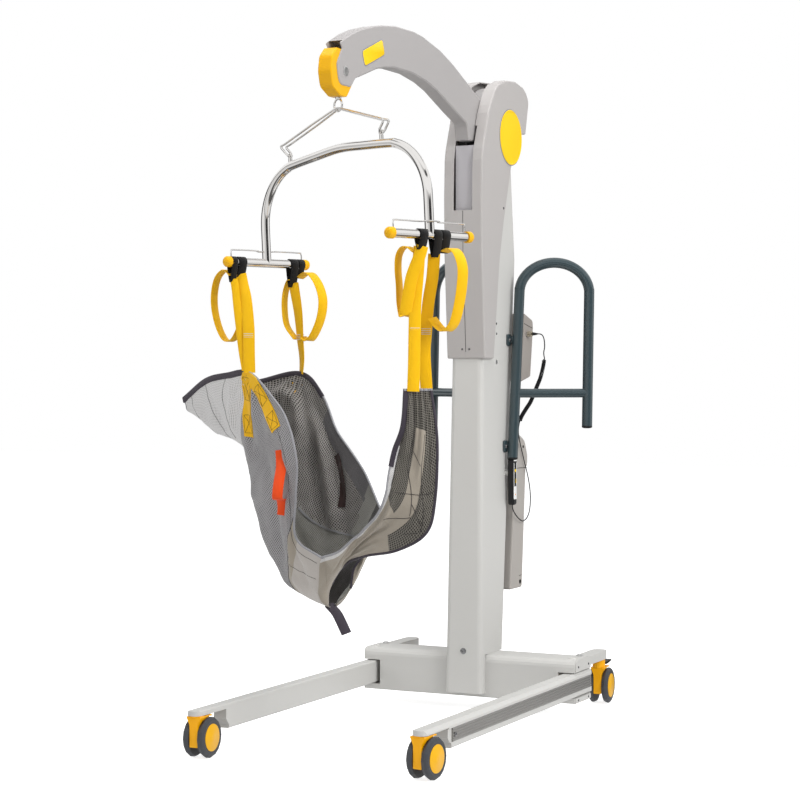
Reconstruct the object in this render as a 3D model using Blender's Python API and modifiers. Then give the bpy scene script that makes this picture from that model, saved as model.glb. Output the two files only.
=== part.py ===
"""Mobile patient lift: wheeled base with opening legs, mast, lifting boom, spreader and sling.

Metres, +Z up. The lift faces -Y, X runs across it, and the floor is z = 0. Sizes are given
in a working frame whose origin is the middle of the cross beam's front face; ORIGIN_X and
ORIGIN_Y move that frame so that the finished part stands centred on the origin.
"""
from math import atan2, cos, pi, radians, sin, sqrt, tan

import bmesh
import bpy
from mathutils import Matrix, Vector

ORIGIN_X = -0.0867
ORIGIN_Y = -0.334
GAP = 0.0003
BEYOND = 3.0

# Cross beam and the clevis at each end that holds a leg
BEAM_HALF = 0.315
BEAM_DEPTH = 0.120
BEAM_BOTTOM = 0.038
BEAM_TOP = 0.155
BEAM_CORNER = 0.020
SLOT_INNER_X = BEAM_HALF - 0.048
SLOT_CLEARANCE = 0.0030
PLATE_THICKNESS = 0.0025
PLATE_INSET = 0.0040
PLATE_CORNER = 0.018
COVER_BOLT_Y = 0.035
REAR_ARM_HALF = 0.021
REAR_ARM_THICKNESS = 0.024

# Legs
LEG_X = BEAM_HALF - 0.016
LEG_HALF = 0.019
LEG_BOTTOM = 0.056
LEG_TOP = 0.118
LEG_REAR_Y = 0.127
LEG_DEEP_FRONT_Y = -0.812
LEG_NOSE_OVERHANG = 0.019
TOE_THICKNESS = 0.0125
LEG_CHAMFER = 0.009
STRIP_LOW = 0.070
STRIP_HIGH = 0.103
STRIP_DEPTH = 0.0030
STRIP_RIBS = 5
RIB_HEIGHT = 0.0014
LEG_PIVOT_X = BEAM_HALF - 0.021
LEG_PIVOT_Y = 0.093
PIVOT_RADIUS = 0.0060
BOLT_HEAD_RADIUS = 0.0105
BOLT_HEAD_HEIGHT = 0.0055

# Casters: swivel places, rest headings in degrees and sizes
FRONT_SWIVEL = (LEG_X - 0.002, LEG_DEEP_FRONT_Y - 0.110)
REAR_SWIVEL = (BEAM_HALF - 0.025, BEAM_DEPTH + 0.133)
CASTER_HEADINGS = {"front_left": 1, "front_right": -5, "rear_left": 1, "rear_right": 5}
WHEEL_RADIUS = 0.050
WHEEL_TRAIL = 0.026
WHEEL_OUTER = 0.0290
WHEEL_INNER = 0.0125
DISC_RADIUS = 0.0355
FORK_HALF = 0.0110
FORK_HEAD_HALF = 0.0190
FORK_FRONT = 0.041
FORK_REAR = 0.014
FORK_FOOT = 0.030
FORK_HEAD_TOP = 0.1040
FORK_FLARE_LOW = 0.0836
AXLE_RADIUS = 0.0040
SWIVEL_PIN_RADIUS = 0.0050
SWIVEL_PIN_DEPTH = 0.0090
RACE_RADIUS = 0.0175
WHEEL_CLEARANCE = 0.0015
PEDAL_HINGE_Y = 0.004
PEDAL_HINGE_Z = 0.1115
PEDAL_HINGE_RADIUS = 0.0022
PEDAL_LUG_HALF = 0.0080
PEDAL_HALF = 0.0150
PEDAL_REACH = 0.052

# Mast
MAST_FOOT = 0.050
MAST_FRONT_FOOT = -0.0284
MAST_FRONT_SLOPE = 0.0266
MAST_REAR_FOOT = 0.1150
MAST_REAR_SLOPE = 0.1056
MAST_HALF_FOOT = 0.0550
MAST_HALF_SLOPE = 0.0100
MAST_SHOULDER = 1.243
MAST_CORNER = 0.013
EAR_INNER = 0.0340
EAR_RADIUS = 0.042
EAR_START = radians(8)
REAR_WEB = 0.008
EAR_FRONT = 0.078
WELL_FRONT = 0.040
WELL_REAR = 0.160
WELL_BOTTOM = 0.930

# Lifting boom; the list gives its side outline as (y, z, fillet radius)
BOOM_PIVOT = (0.169, 1.583)
BOOM_HALF = 0.0205
BOOM_WALL = 0.0020
PIVOT_SHAFT_RADIUS = 0.0100
HUB_RADIUS = 0.140
HUB_HALF = 0.0211
BOOM_OUTLINE = (
    (-0.787, 1.712, 0.004), (-0.697, 1.754, 0.30), (-0.580, 1.784, 0.30), (-0.431, 1.803, 0.50),
    (-0.270, 1.790, 0.50), (-0.140, 1.750, 0.30), (0.110, 1.650, 0), (0.045, 1.557, 0),
    (-0.0330, 1.557, 0.003), (-0.0440, 1.600, 0.020), (-0.119, 1.624, 0.20), (-0.270, 1.677, 0.30),
    (-0.440, 1.698, 0.40), (-0.573, 1.680, 0.20),
    (-0.703, 1.636, 0.006), (-0.728, 1.611, 0.020), (-0.790, 1.611, 0.024), (-0.803, 1.660, 0.020),
    (-0.775, 1.700, 0.004),
)

# Shutter that follows the boom behind the covers' front slot
SHUTTER_FRONT = -0.0175
SHUTTER_THICKNESS = 0.003
SHUTTER_HALF = 0.0272
SHUTTER_LOW = 1.355
SHUTTER_HIGH = 1.545
SHUTTER_TRAVEL = 0.200

# Boom nose, which hangs from a pin through the two lobes of the boom's tip
NOSE_PIVOT = (-0.757, 1.647)
NOSE_HALF = 0.0180
NOSE_PIN_RADIUS = 0.0060
NOSE_CAVITY_RADIUS = 0.0735
NOSE_BOTTOM = 1.586

# Spreader, in its own plane: across from the left bar to the right one, and down from the ring
SPREADER_HEADING = radians(22)
SPREADER_TILT = radians(3.9)
RING_Z = 1.567
RING_RADIUS = 0.0145
RING_WIRE = 0.0025
SWIVEL_SHANK_RADIUS = 0.0055
BAR_ACROSS = 0.300
BAR_DROP = 0.348
LEG_STRAIGHT_DROP = 0.257
CROWN_DROP = 0.104
BEND_RADIUS = 0.140
TUBE_RADIUS = 0.0110
BAR_HALF = 0.1235
CAP_RADIUS = 0.0135
CAP_LENGTH = 0.010
CAP_WALL = 0.0022
LINK_WIRE = 0.0030
LINK_SPACING = 0.0085
LEFT_LUG_ACROSS = -0.190
RIGHT_LUG_ACROSS = 0.150
LUG_HEIGHT = 0.026
KEEPER_WIRE = 0.0018
KEEPER_RISE = 0.030

# Mast covers; the outline is their side view as (y, z, fillet radius)
COVER_HALF = 0.057
COVER_WALL = 0.003
COVER_CORNER = 0.009
COVER_OUTLINE = (
    (-0.0080, 0.964, 0.004), (-0.0180, 1.100, 0.20), (-0.0285, 1.250, 0.30), (-0.0310, 1.400, 0.30),
    (-0.0270, 1.520, 0.10), (0.0210, 1.648, 0.10), (0.0700, 1.716, 0.05), (0.1700, 1.750, 0.14),
    (0.2730, 1.732, 0.04), (0.3050, 1.700, 0.020), (0.2810, 1.603, 0.006), (0.2440, 1.598, 0.004),
    (0.2330, 1.545, 0.05), (0.1780, 1.506, 0.03), (0.1250, 1.349, 0.10), (0.0950, 1.236, 0.20),
    (0.0790, 1.125, 0.20), (0.0550, 0.964, 0.006),
)
COVER_OPENING = (
    (0.300, 0.900), (0.300, 1.555), (0.225, 1.555), (0.150, 1.500), (0.110, 1.330), (-0.0046, 0.972),
    (-0.0046, 0.900),
)
SLOT_HALF = 0.0280
SLOT_LOW = 1.368
SLOT_HIGH = 1.600
TOP_SLOT_HALF = 0.0225

# Actuator inside the mast
ACTUATOR_BASE = (0.098, 0.955)
ACTUATOR_ARM = 0.110
ACTUATOR_ARM_ANGLE = radians(190)
ACTUATOR_RADIUS = 0.024
ACTUATOR_ROD_RADIUS = 0.010
ACTUATOR_TUBE_LENGTH = 0.400
CLEVIS_CLEARANCE = 0.009
ROD_SPACE_RADIUS = 0.024
ROD_SPACE_FORWARD = 0.044
ROD_SPACE_HALF = 0.0125

# Control box and battery on the rear of the mast
CONTROL_HALF = 0.075
CONTROL_LOW = 0.900
CONTROL_HIGH = 1.092
CONTROL_OUTLINE = (
    (0.2320, 1.092, 0.004), (0.2900, 1.074, 0.010), (0.2930, 1.052, 0.004), (0.2730, 0.914, 0.008),
)
SOCKET_PLACE = (0.246, 1.035)
SOCKET_RADIUS = 0.009
DOCK_HALF = 0.035
DOCK_LOW = 0.280
DOCK_HIGH = 0.745
DOCK_THICKNESS = 0.026
BATTERY_HALF = 0.057
BATTERY_OUTLINE = (
    (0.2320, 0.752, 0.010), (0.2770, 0.733, 0.035), (0.2970, 0.690, 0.012), (0.2960, 0.661, 0.004),
    (0.2840, 0.653, 0.004), (0.2570, 0.316, 0.010),
)
BATTERY_LOW = 0.316
BATTERY_HIGH = 0.752

# Push handles
HANDLE_INNER_X = 0.070
HANDLE_OUTER_X = 0.240
HANDLE_RADIUS = 0.0145
GRIP_RADIUS = 0.0125
HANDLE_TOP = 1.2350
HANDLE_INNER_LOW = 0.688
HANDLE_OUTER_LOW = 0.775
HANDLE_GRIP_Z = 0.868
HANDLE_SETBACK = 0.028
HANDLE_CLAMPS = (1.017, 0.720)
CLAMP_RADIUS = 0.011

# Handset and its hook
HANDSET_CENTRE = (0.068, 0.157)
HANDSET_HALF_WIDTH = 0.0145
HANDSET_HALF_THICKNESS = 0.009
HANDSET_LOW = 0.556
HOOK_ROOT_X = 0.040
HOOK_Z = 0.645
HANDSET_HIGH = 0.684
BUTTON_RADIUS = 0.0042
BUTTON_DEPTH = 0.006
BUTTON_TRAVEL = 0.0015
BUTTON_PROUD = 0.0022
BUTTON_HEIGHTS = (0.674, 0.663, 0.652, 0.641)
STOP_DISC_RADIUS = 0.0080
STOP_DISC_Z = 0.623

# Handset cord: its plug, its leading stretch, its curls and its thin tail
CORD_RADIUS = 0.0017
CORD_LEAD = (
    (0.1080, 0.246, 1.035), (0.1115, 0.246, 1.035), (0.1160, 0.250, 1.0340), (0.1195, 0.257, 1.029),
    (0.1200, 0.266, 1.016), (0.1190, 0.271, 0.998), (0.1165, 0.271, 0.984), (0.1150, 0.276, 0.974),
    (0.1145, 0.2812, 0.967),
)
CORD_CURLY = (
    (0.1145, 0.2812, 0.967), (0.1100, 0.281, 0.940), (0.1050, 0.274, 0.911), (0.0990, 0.260, 0.884),
    (0.0900, 0.240, 0.845), (0.0820, 0.223, 0.823), (0.0750, 0.207, 0.802), (0.0715, 0.200, 0.785),
)
CORD_TAIL = (
    (0.0715, 0.200, 0.785), (0.0680, 0.202, 0.768), (0.0645, 0.212, 0.748), (0.0630, 0.228, 0.722),
    (0.0625, 0.246, 0.694), (0.0625, 0.263, 0.665), (0.0640, 0.278, 0.636), (0.0655, 0.290, 0.602),
    (0.0660, 0.2955, 0.568), (0.0660, 0.290, 0.535), (0.0660, 0.274, 0.5155), (0.0663, 0.2526, 0.507),
    (0.0665, 0.231, 0.506), (0.0668, 0.1975, 0.519), (0.0670, 0.1727, 0.535), (0.0675, 0.160, 0.547),
    (0.0680, 0.157, 0.5557),
)
CURL_RADIUS = 0.0045
CURL_WIRE = 0.0015
CURL_TURNS = 38
CURL_POINTS = 7
CORD_SIDES = 0
CORD_STEP = 0.006

# Sling: (along, across, height) stations of its keel, its two rims and each thigh flap's two edges
SLING_KEEL = (
    (-0.020, -0.553, 0.819), (-0.020, -0.462, 0.774), (-0.030, -0.365, 0.756), (-0.040, -0.306, 0.728),
    (-0.040, -0.282, 0.664), (-0.035, -0.252, 0.580), (-0.030, -0.215, 0.500), (-0.020, -0.164, 0.434),
    (-0.010, -0.099, 0.382), (0.000, -0.028, 0.361),
)
SLING_NEAR_RIM = (
    (-0.060, -0.546, 0.861), (-0.075, -0.430, 0.910), (-0.085, -0.325, 0.925), (-0.094, -0.224, 0.928),
    (-0.104, -0.124, 0.870), (-0.112, -0.057, 0.814), (-0.118, -0.012, 0.720), (-0.118, -0.016, 0.625),
    (-0.108, -0.028, 0.534), (-0.090, 0.047, 0.492),
)
SLING_FAR_RIM = (
    (0.020, -0.560, 0.856), (0.050, -0.486, 0.887), (0.075, -0.386, 0.910), (0.090, -0.252, 0.928),
    (0.098, -0.179, 0.875), (0.104, -0.132, 0.789), (0.106, -0.081, 0.738), (0.104, -0.026, 0.688),
    (0.095, 0.032, 0.618), (0.075, 0.088, 0.579),
)
NEAR_FLAP = (
    ((-0.012, -0.028, 0.361), (-0.090, 0.047, 0.492)), ((-0.020, 0.000, 0.420), (-0.088, 0.117, 0.516)),
    ((-0.030, 0.056, 0.468), (-0.088, 0.181, 0.557)), ((-0.040, 0.140, 0.496), (-0.088, 0.241, 0.602)),
    ((-0.035, 0.253, 0.517), (-0.086, 0.266, 0.649)), ((-0.022, 0.337, 0.561), (-0.084, 0.274, 0.694)),
    ((-0.012, 0.356, 0.638), (-0.078, 0.284, 0.751)), ((-0.008, 0.359, 0.774), (-0.072, 0.305, 0.808)),
    ((-0.004, 0.334, 0.890), (-0.064, 0.306, 0.890)),
)
FAR_FLAP = (
    ((0.012, -0.028, 0.361), (0.075, 0.088, 0.579)), ((0.020, 0.019, 0.407), (0.078, 0.099, 0.610)),
    ((0.030, 0.023, 0.457), (0.080, 0.111, 0.634)), ((0.030, 0.081, 0.506), (0.080, 0.125, 0.657)),
    ((0.025, 0.165, 0.552), (0.078, 0.142, 0.681)), ((0.018, 0.236, 0.603), (0.075, 0.163, 0.710)),
    ((0.012, 0.277, 0.680), (0.070, 0.189, 0.745)), ((0.008, 0.295, 0.795), (0.064, 0.227, 0.804)),
    ((0.004, 0.292, 0.885), (0.056, 0.266, 0.884)),
)
SLING_THICKNESS = 0.0050
SLING_FOLD = 0.0060
TROUGH_FULLNESS = 1.3
SLING_ACROSS_STEPS = 12
SLING_STEPS_PER_STATION = 2
STRAP_WIDTH = 0.028
STRAP_THICKNESS = 0.0030
STRAP_LOOP_DROP = 0.060
STRAP_MERGE_DROP = 0.075
SHOULDER_STATION = 3
SHOULDER_OFFSETS = (-0.088, 0.088)
THIGH_OFFSETS = (-0.026, 0.043)

BODY_PLACES = {"base": (None, (0, 0, 0))}
BODIES = {}
PARTS = bpy.data.collections.new("patient_lift")


def clear_scene():
    """Start from an empty scene with one collection for the lift's pieces."""
    for piece in list(bpy.data.objects):
        bpy.data.objects.remove(piece)
    bpy.context.scene.collection.children.link(PARTS)


def make_material(name, colour, roughness, metallic=0.0):
    """A Principled BSDF of one colour."""
    material = bpy.data.materials.new(name)
    material.use_nodes = True
    shader = material.node_tree.nodes["Principled BSDF"]
    shader.inputs["Base Color"].default_value = (*colour, 1)
    shader.inputs["Roughness"].default_value = roughness
    shader.inputs["Metallic"].default_value = metallic
    return material


MATERIALS = {
    "paint": make_material("pale_grey_paint", (0.62, 0.61, 0.59), 0.45),
    "shell": make_material("warm_grey_shell", (0.42, 0.41, 0.39), 0.50),
    "yellow": make_material("yellow_plastic", (1.00, 0.62, 0.01), 0.40),
    "amber": make_material("amber_plastic", (1.00, 0.48, 0.01), 0.40),
    "black": make_material("black_plastic", (0.02, 0.02, 0.02), 0.50),
    "tyre": make_material("grey_tyre", (0.05, 0.05, 0.055), 0.70),
    "chrome": make_material("chromed_steel", (0.80, 0.80, 0.80), 0.12, 1.0),
    "steel": make_material("bright_steel", (0.60, 0.60, 0.60), 0.30, 1.0),
    "aluminium": make_material("fluted_aluminium", (0.55, 0.55, 0.54), 0.40, 1.0),
    "handle": make_material("blue_grey_gloss", (0.16, 0.20, 0.24), 0.20),
    "box": make_material("box_plastic", (0.48, 0.47, 0.45), 0.55),
    "cloth": make_material("sling_cloth", (0.20, 0.19, 0.18), 0.90),
    "webbing": make_material("yellow_webbing", (0.90, 0.55, 0.02), 0.80),
}


def add_body(name, parent, place):
    """An empty on a moving body's joint, under the empty of the body that carries it."""
    BODY_PLACES[name] = (parent, place)
    marker = bpy.data.objects.new(name + "_joint", None)
    PARTS.objects.link(marker)
    if parent is None:
        marker.location = Vector(place) - Vector((ORIGIN_X, ORIGIN_Y, 0))
    else:
        marker.parent = BODIES[parent]
        marker.location = Vector(place) - Vector(BODY_PLACES[parent][1])
    BODIES[name] = marker


def settle(piece, name, material, body="base", smooth_angle=35):
    """Name a finished piece, give it its material and hang it on its body."""
    piece.name = name
    piece.data.name = name
    piece.data.materials.clear()
    piece.data.materials.append(MATERIALS[material])
    if piece.type == "MESH":
        piece.data.shade_smooth()
        piece.data.set_sharp_from_angle(angle=radians(smooth_angle))
    piece.parent = BODIES[body]
    piece.matrix_parent_inverse = Matrix.Translation(-Vector(BODY_PLACES[body][1]))
    return piece


def link(name, data):
    """A new object in the lift's collection."""
    piece = bpy.data.objects.new(name, data)
    PARTS.objects.link(piece)
    return piece


def weld(mesh, outward):
    """Join loose caps to their walls, merge flat faces and, where asked, turn every face outward."""
    edit = bmesh.new()
    edit.from_mesh(mesh)
    bmesh.ops.remove_doubles(edit, verts=edit.verts, dist=0.000002)
    bmesh.ops.dissolve_limit(edit, angle_limit=radians(0.3), verts=edit.verts, edges=edit.edges)
    if outward:
        bmesh.ops.recalc_face_normals(edit, faces=edit.faces)
    edit.to_mesh(mesh)
    edit.free()


def bake(piece, outward=True):
    """The piece as one plain mesh in working coordinates, its modifiers and curve applied."""
    bpy.context.view_layer.update()
    graph = bpy.context.evaluated_depsgraph_get()
    mesh = bpy.data.meshes.new_from_object(piece.evaluated_get(graph))
    mesh.transform(piece.matrix_world)
    weld(mesh, outward)
    solid = link(piece.name + "_solid", mesh)
    bpy.data.objects.remove(piece)
    return solid


def combine(target, operation, tools):
    """Cut the tools out of the target, or join or intersect them with it."""
    for tool in tools:
        modifier = target.modifiers.new("combine", "BOOLEAN")
        modifier.operation = operation
        modifier.solver = "EXACT"
        modifier.object = tool
        target = bake(target, outward=False)
        bpy.data.objects.remove(tool)
    return target


def cut(target, *tools):
    return combine(target, "DIFFERENCE", tools)


def join(target, *tools):
    return combine(target, "UNION", tools)


def bevel(piece, width, segments=2, angle=40):
    """Round the piece's sharp edges."""
    modifier = piece.modifiers.new("rounded_edges", "BEVEL")
    modifier.width = width
    modifier.segments = segments
    modifier.limit_method = "ANGLE"
    modifier.angle_limit = radians(angle)
    return bake(piece)


def rounded(corners, step=radians(15)):
    """A closed outline from (a, b, radius) corners, each one turned into an arc."""
    outline = []
    for index, (a, b, radius) in enumerate(corners):
        here = Vector((a, b))
        back = Vector(corners[index - 1][:2]) - here
        ahead = Vector(corners[(index + 1) % len(corners)][:2]) - here
        if radius == 0:
            outline.append(here)
            continue
        half = back.angle(ahead) / 2
        reach = min(radius / tan(half), 0.48 * back.length, 0.48 * ahead.length)
        radius = reach * tan(half)
        centre = here + (back.normalized() + ahead.normalized()).normalized() * radius / sin(half)
        first = here + back.normalized() * reach - centre
        last = here + ahead.normalized() * reach - centre
        start = atan2(first.y, first.x)
        sweep = (atan2(last.y, last.x) - start + pi) % (2 * pi) - pi
        count = max(1, round(abs(sweep) / step))
        for turn in range(count + 1):
            angle = start + sweep * turn / count
            outline.append(centre + radius * Vector((cos(angle), sin(angle))))
    return outline


PLANES = {
    "XY": Matrix(((1, 0, 0), (0, 1, 0), (0, 0, 1))),
    "YZ": Matrix(((0, 0, 1), (1, 0, 0), (0, 1, 0))),
    "XZ": Matrix(((1, 0, 0), (0, 0, -1), (0, 1, 0))),
}
PLANE_NORMALS = {"XY": Vector((0, 0, 1)), "YZ": Vector((1, 0, 0)), "XZ": Vector((0, 1, 0))}


def slab(outlines, plane, near, far):
    """A flat outline, with any holes after it, thickened across its plane from near to far."""
    curve = bpy.data.curves.new("outline", "CURVE")
    curve.dimensions = "2D"
    curve.fill_mode = "BOTH"
    curve.extrude = abs(far - near) / 2
    for outline in outlines:
        spline = curve.splines.new("POLY")
        spline.points.add(len(outline) - 1)
        for point, (a, b) in zip(spline.points, outline):
            point.co = (a, b, 0, 1)
        spline.use_cyclic_u = True
    piece = link("outline", curve)
    middle = PLANE_NORMALS[plane] * (near + far) / 2
    piece.matrix_world = Matrix.Translation(middle) @ PLANES[plane].to_4x4()
    return bake(piece)


def block(low, high):
    """A box between two corners."""
    edit = bmesh.new()
    bmesh.ops.create_cube(edit, size=1)
    size = Vector(high) - Vector(low)
    bmesh.ops.scale(edit, vec=size, verts=edit.verts)
    bmesh.ops.translate(edit, vec=(Vector(low) + Vector(high)) / 2, verts=edit.verts)
    mesh = bpy.data.meshes.new("block")
    edit.to_mesh(mesh)
    edit.free()
    return link("block", mesh)


def rod(start, end, radius, sides=24):
    """A round bar between two points."""
    start = Vector(start)
    end = Vector(end)
    axis = end - start
    edit = bmesh.new()
    bmesh.ops.create_cone(
        edit, cap_ends=True, segments=sides, radius1=radius, radius2=radius, depth=axis.length)
    mesh = bpy.data.meshes.new("rod")
    edit.to_mesh(mesh)
    edit.free()
    mesh.transform(Matrix.Translation((start + end) / 2) @ axis.to_track_quat("Z", "Y").to_matrix().to_4x4())
    return link("rod", mesh)


def turned(profile, place, axis, steps=24):
    """A shape turned round an axis from (radius, height) points that run from its top down."""
    mesh = bpy.data.meshes.new("profile")
    edit = bmesh.new()
    points = [edit.verts.new((radius, 0, height)) for radius, height in profile]
    for first, second in zip(points, points[1:]):
        edit.edges.new((first, second))
    edit.to_mesh(mesh)
    edit.free()
    piece = link("turned", mesh)
    screw = piece.modifiers.new("turn", "SCREW")
    screw.angle = 2 * pi
    screw.steps = steps
    screw.render_steps = steps
    screw.use_merge_vertices = True
    screw.merge_threshold = 0.00001
    turn = Vector(axis).to_track_quat("Z", "Y").to_matrix().to_4x4()
    piece.matrix_world = Matrix.Translation(Vector(place)) @ turn
    return bake(piece)


def smooth_path(points, per_span):
    """Points on the smooth curve that runs through the given ones."""
    knots = [Vector(point) for point in points]
    knots = [2 * knots[0] - knots[1]] + knots + [2 * knots[-1] - knots[-2]]
    path = []
    for index in range(1, len(knots) - 2):
        before, start, end, after = knots[index - 1:index + 3]
        for step in range(per_span):
            t = step / per_span
            path.append(0.5 * (2 * start + (end - before) * t
                               + (2 * before - 5 * start + 4 * end - after) * t * t
                               + (3 * start - before - 3 * end + after) * t * t * t))
    path.append(knots[-2])
    return path


def evenly(path, spacing):
    """The same path with its points an even distance apart."""
    lengths = [0.0]
    for first, second in zip(path, path[1:]):
        lengths.append(lengths[-1] + (second - first).length)
    count = max(2, round(lengths[-1] / spacing))
    result = []
    index = 0
    for step in range(count + 1):
        target = lengths[-1] * step / count
        while index < len(path) - 2 and lengths[index + 1] < target:
            index += 1
        span = lengths[index + 1] - lengths[index]
        result.append(path[index].lerp(path[index + 1], (target - lengths[index]) / span))
    return result


def tube(path, radius, resolution=2, closed=False):
    """A round tube or wire along a path, as a bevelled curve with filled caps."""
    curve = bpy.data.curves.new("tube", "CURVE")
    curve.dimensions = "3D"
    curve.bevel_depth = radius
    curve.bevel_resolution = resolution
    curve.use_fill_caps = not closed
    spline = curve.splines.new("POLY")
    spline.points.add(len(path) - 1)
    for point, place in zip(spline.points, path):
        point.co = (*place, 1)
    spline.use_cyclic_u = closed
    return bake(link("tube", curve))


def arc_points(centre, radius, start, end, count):
    """Points on an arc in a plane, angles in radians."""
    return [(centre[0] + radius * cos(start + (end - start) * step / count),
             centre[1] + radius * sin(start + (end - start) * step / count))
            for step in range(count + 1)]


def mast_rear(z):
    """The y of the mast's sloping rear face at a height."""
    return MAST_REAR_FOOT + MAST_REAR_SLOPE * (z - MAST_FOOT)


def mast_front(z):
    """The y of the mast's front face at a height."""
    return MAST_FRONT_FOOT + MAST_FRONT_SLOPE * (z - MAST_FOOT)


def mast_half(z):
    """Half the mast's width at a height."""
    return MAST_HALF_FOOT - MAST_HALF_SLOPE * (z - MAST_FOOT)


def build_cross_beam():
    """The beam with its leg clevises, its rear caster arms and its two pinned bolts."""
    profile = rounded((
        (0, BEAM_BOTTOM, 0.004), (BEAM_DEPTH, BEAM_BOTTOM, 0.004),
        (BEAM_DEPTH, BEAM_TOP, BEAM_CORNER), (0, BEAM_TOP, BEAM_CORNER)), radians(23))
    beam = slab([profile], "YZ", -BEAM_HALF, BEAM_HALF)
    arm_top = BEAM_TOP - 0.004
    for side in (-1, 1):
        swivel_x = side * REAR_SWIVEL[0]
        arm_end = arc_points((swivel_x, REAR_SWIVEL[1]), REAR_ARM_HALF, 0, pi, 10)
        root_y = BEAM_DEPTH - BEAM_CORNER
        arm_outline = arm_end + [(swivel_x - REAR_ARM_HALF, root_y), (swivel_x + REAR_ARM_HALF, root_y)]
        arm = slab([arm_outline], "XY", arm_top - REAR_ARM_THICKNESS, arm_top)
        outer = side * (BEAM_HALF + 0.01)
        inner = side * SLOT_INNER_X
        slot = block(
            (min(inner, outer), -0.01, LEG_BOTTOM - SLOT_CLEARANCE),
            (max(inner, outer), BEAM_DEPTH + 0.01, LEG_TOP + SLOT_CLEARANCE))
        pin_x = side * LEG_PIVOT_X
        pin_hole = rod((pin_x, LEG_PIVOT_Y, 0), (pin_x, LEG_PIVOT_Y, 0.2), PIVOT_RADIUS + GAP, 20)
        swivel_top = FORK_HEAD_TOP + SWIVEL_PIN_DEPTH + 0.02
        swivel_hole = rod((swivel_x, REAR_SWIVEL[1], 0.05), (swivel_x, REAR_SWIVEL[1], swivel_top + 0.004),
                          SWIVEL_PIN_RADIUS + GAP, 16)
        bolt = dome_bolt((pin_x, COVER_BOLT_Y, BEAM_TOP - 0.001))
        lower_high = LEG_BOTTOM - SLOT_CLEARANCE - 0.001
        lower_plate = end_plate(side, BEAM_HALF - 0.01, BEAM_BOTTOM + 0.001, lower_high, 0, 0.003)
        beam = join(cut(beam, slot), arm, bolt, lower_plate)
        beam = cut(beam, pin_hole, swivel_hole)
    settle(beam, "cross_beam", "paint")


def dome_bolt(place, shank_radius=0.0, shank_length=0.0):
    """A low domed bolt head standing on a place, with a shank below it where one is asked for."""
    dome = [(BOLT_HEAD_RADIUS * sin(angle), BOLT_HEAD_HEIGHT * cos(angle))
            for angle in (0, pi / 6, pi / 3)]
    profile = [(0, BOLT_HEAD_HEIGHT)] + dome[1:] + [(BOLT_HEAD_RADIUS, 0.001), (BOLT_HEAD_RADIUS, 0)]
    if shank_radius:
        profile += [(shank_radius, 0), (shank_radius, -shank_length), (0, -shank_length)]
    else:
        profile += [(0, 0)]
    return turned(profile, place, (0, 0, 1), 12)


def build_leg_pivots():
    """The pin at each end of the beam that its leg turns on."""
    for side, name in ((-1, "left"), (1, "right")):
        place = (side * LEG_PIVOT_X, LEG_PIVOT_Y, BEAM_TOP + GAP)
        pin = dome_bolt(place, PIVOT_RADIUS, BEAM_TOP + GAP - BEAM_BOTTOM - 0.001)
        settle(pin, "leg_pivot_" + name, "steel")


def end_plate(side, near, low, high, top_corner, bottom_corner):
    """A plate over the beam's end between two heights, from near the middle line outward."""
    front = PLATE_INSET
    rear = BEAM_DEPTH - PLATE_INSET
    outline = rounded(((front, low, bottom_corner), (rear, low, bottom_corner),
                       (rear, high, top_corner), (front, high, top_corner)), radians(23))
    return slab([outline], "YZ", side * near, side * (BEAM_HALF + GAP + PLATE_THICKNESS))


def build_end_plates():
    """The screwed plates that close the beam's ends above each leg."""
    low = LEG_TOP + SLOT_CLEARANCE + 0.002
    for side, name in ((-1, "left"), (1, "right")):
        plate = end_plate(side, BEAM_HALF + GAP, low, BEAM_TOP - 0.001, PLATE_CORNER, 0)
        settle(plate, "beam_end_plate_" + name, "paint")


def leg_section(side):
    """The leg's cross section in X and Z, with the recess for its fluted strip."""
    inner = side * (LEG_X - LEG_HALF)
    outer = side * (LEG_X + LEG_HALF)
    recess = side * (LEG_X + LEG_HALF - STRIP_DEPTH)
    return [
        (inner, LEG_BOTTOM + 0.004), (inner + side * 0.004, LEG_BOTTOM), (outer - side * 0.003, LEG_BOTTOM),
        (outer, LEG_BOTTOM + 0.003), (outer, STRIP_LOW), (recess, STRIP_LOW), (recess, STRIP_HIGH),
        (outer, STRIP_HIGH), (outer, LEG_TOP - LEG_CHAMFER), (outer - side * LEG_CHAMFER * 0.7, LEG_TOP),
        (inner + side * 0.003, LEG_TOP), (inner, LEG_TOP - 0.003),
    ]


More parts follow.
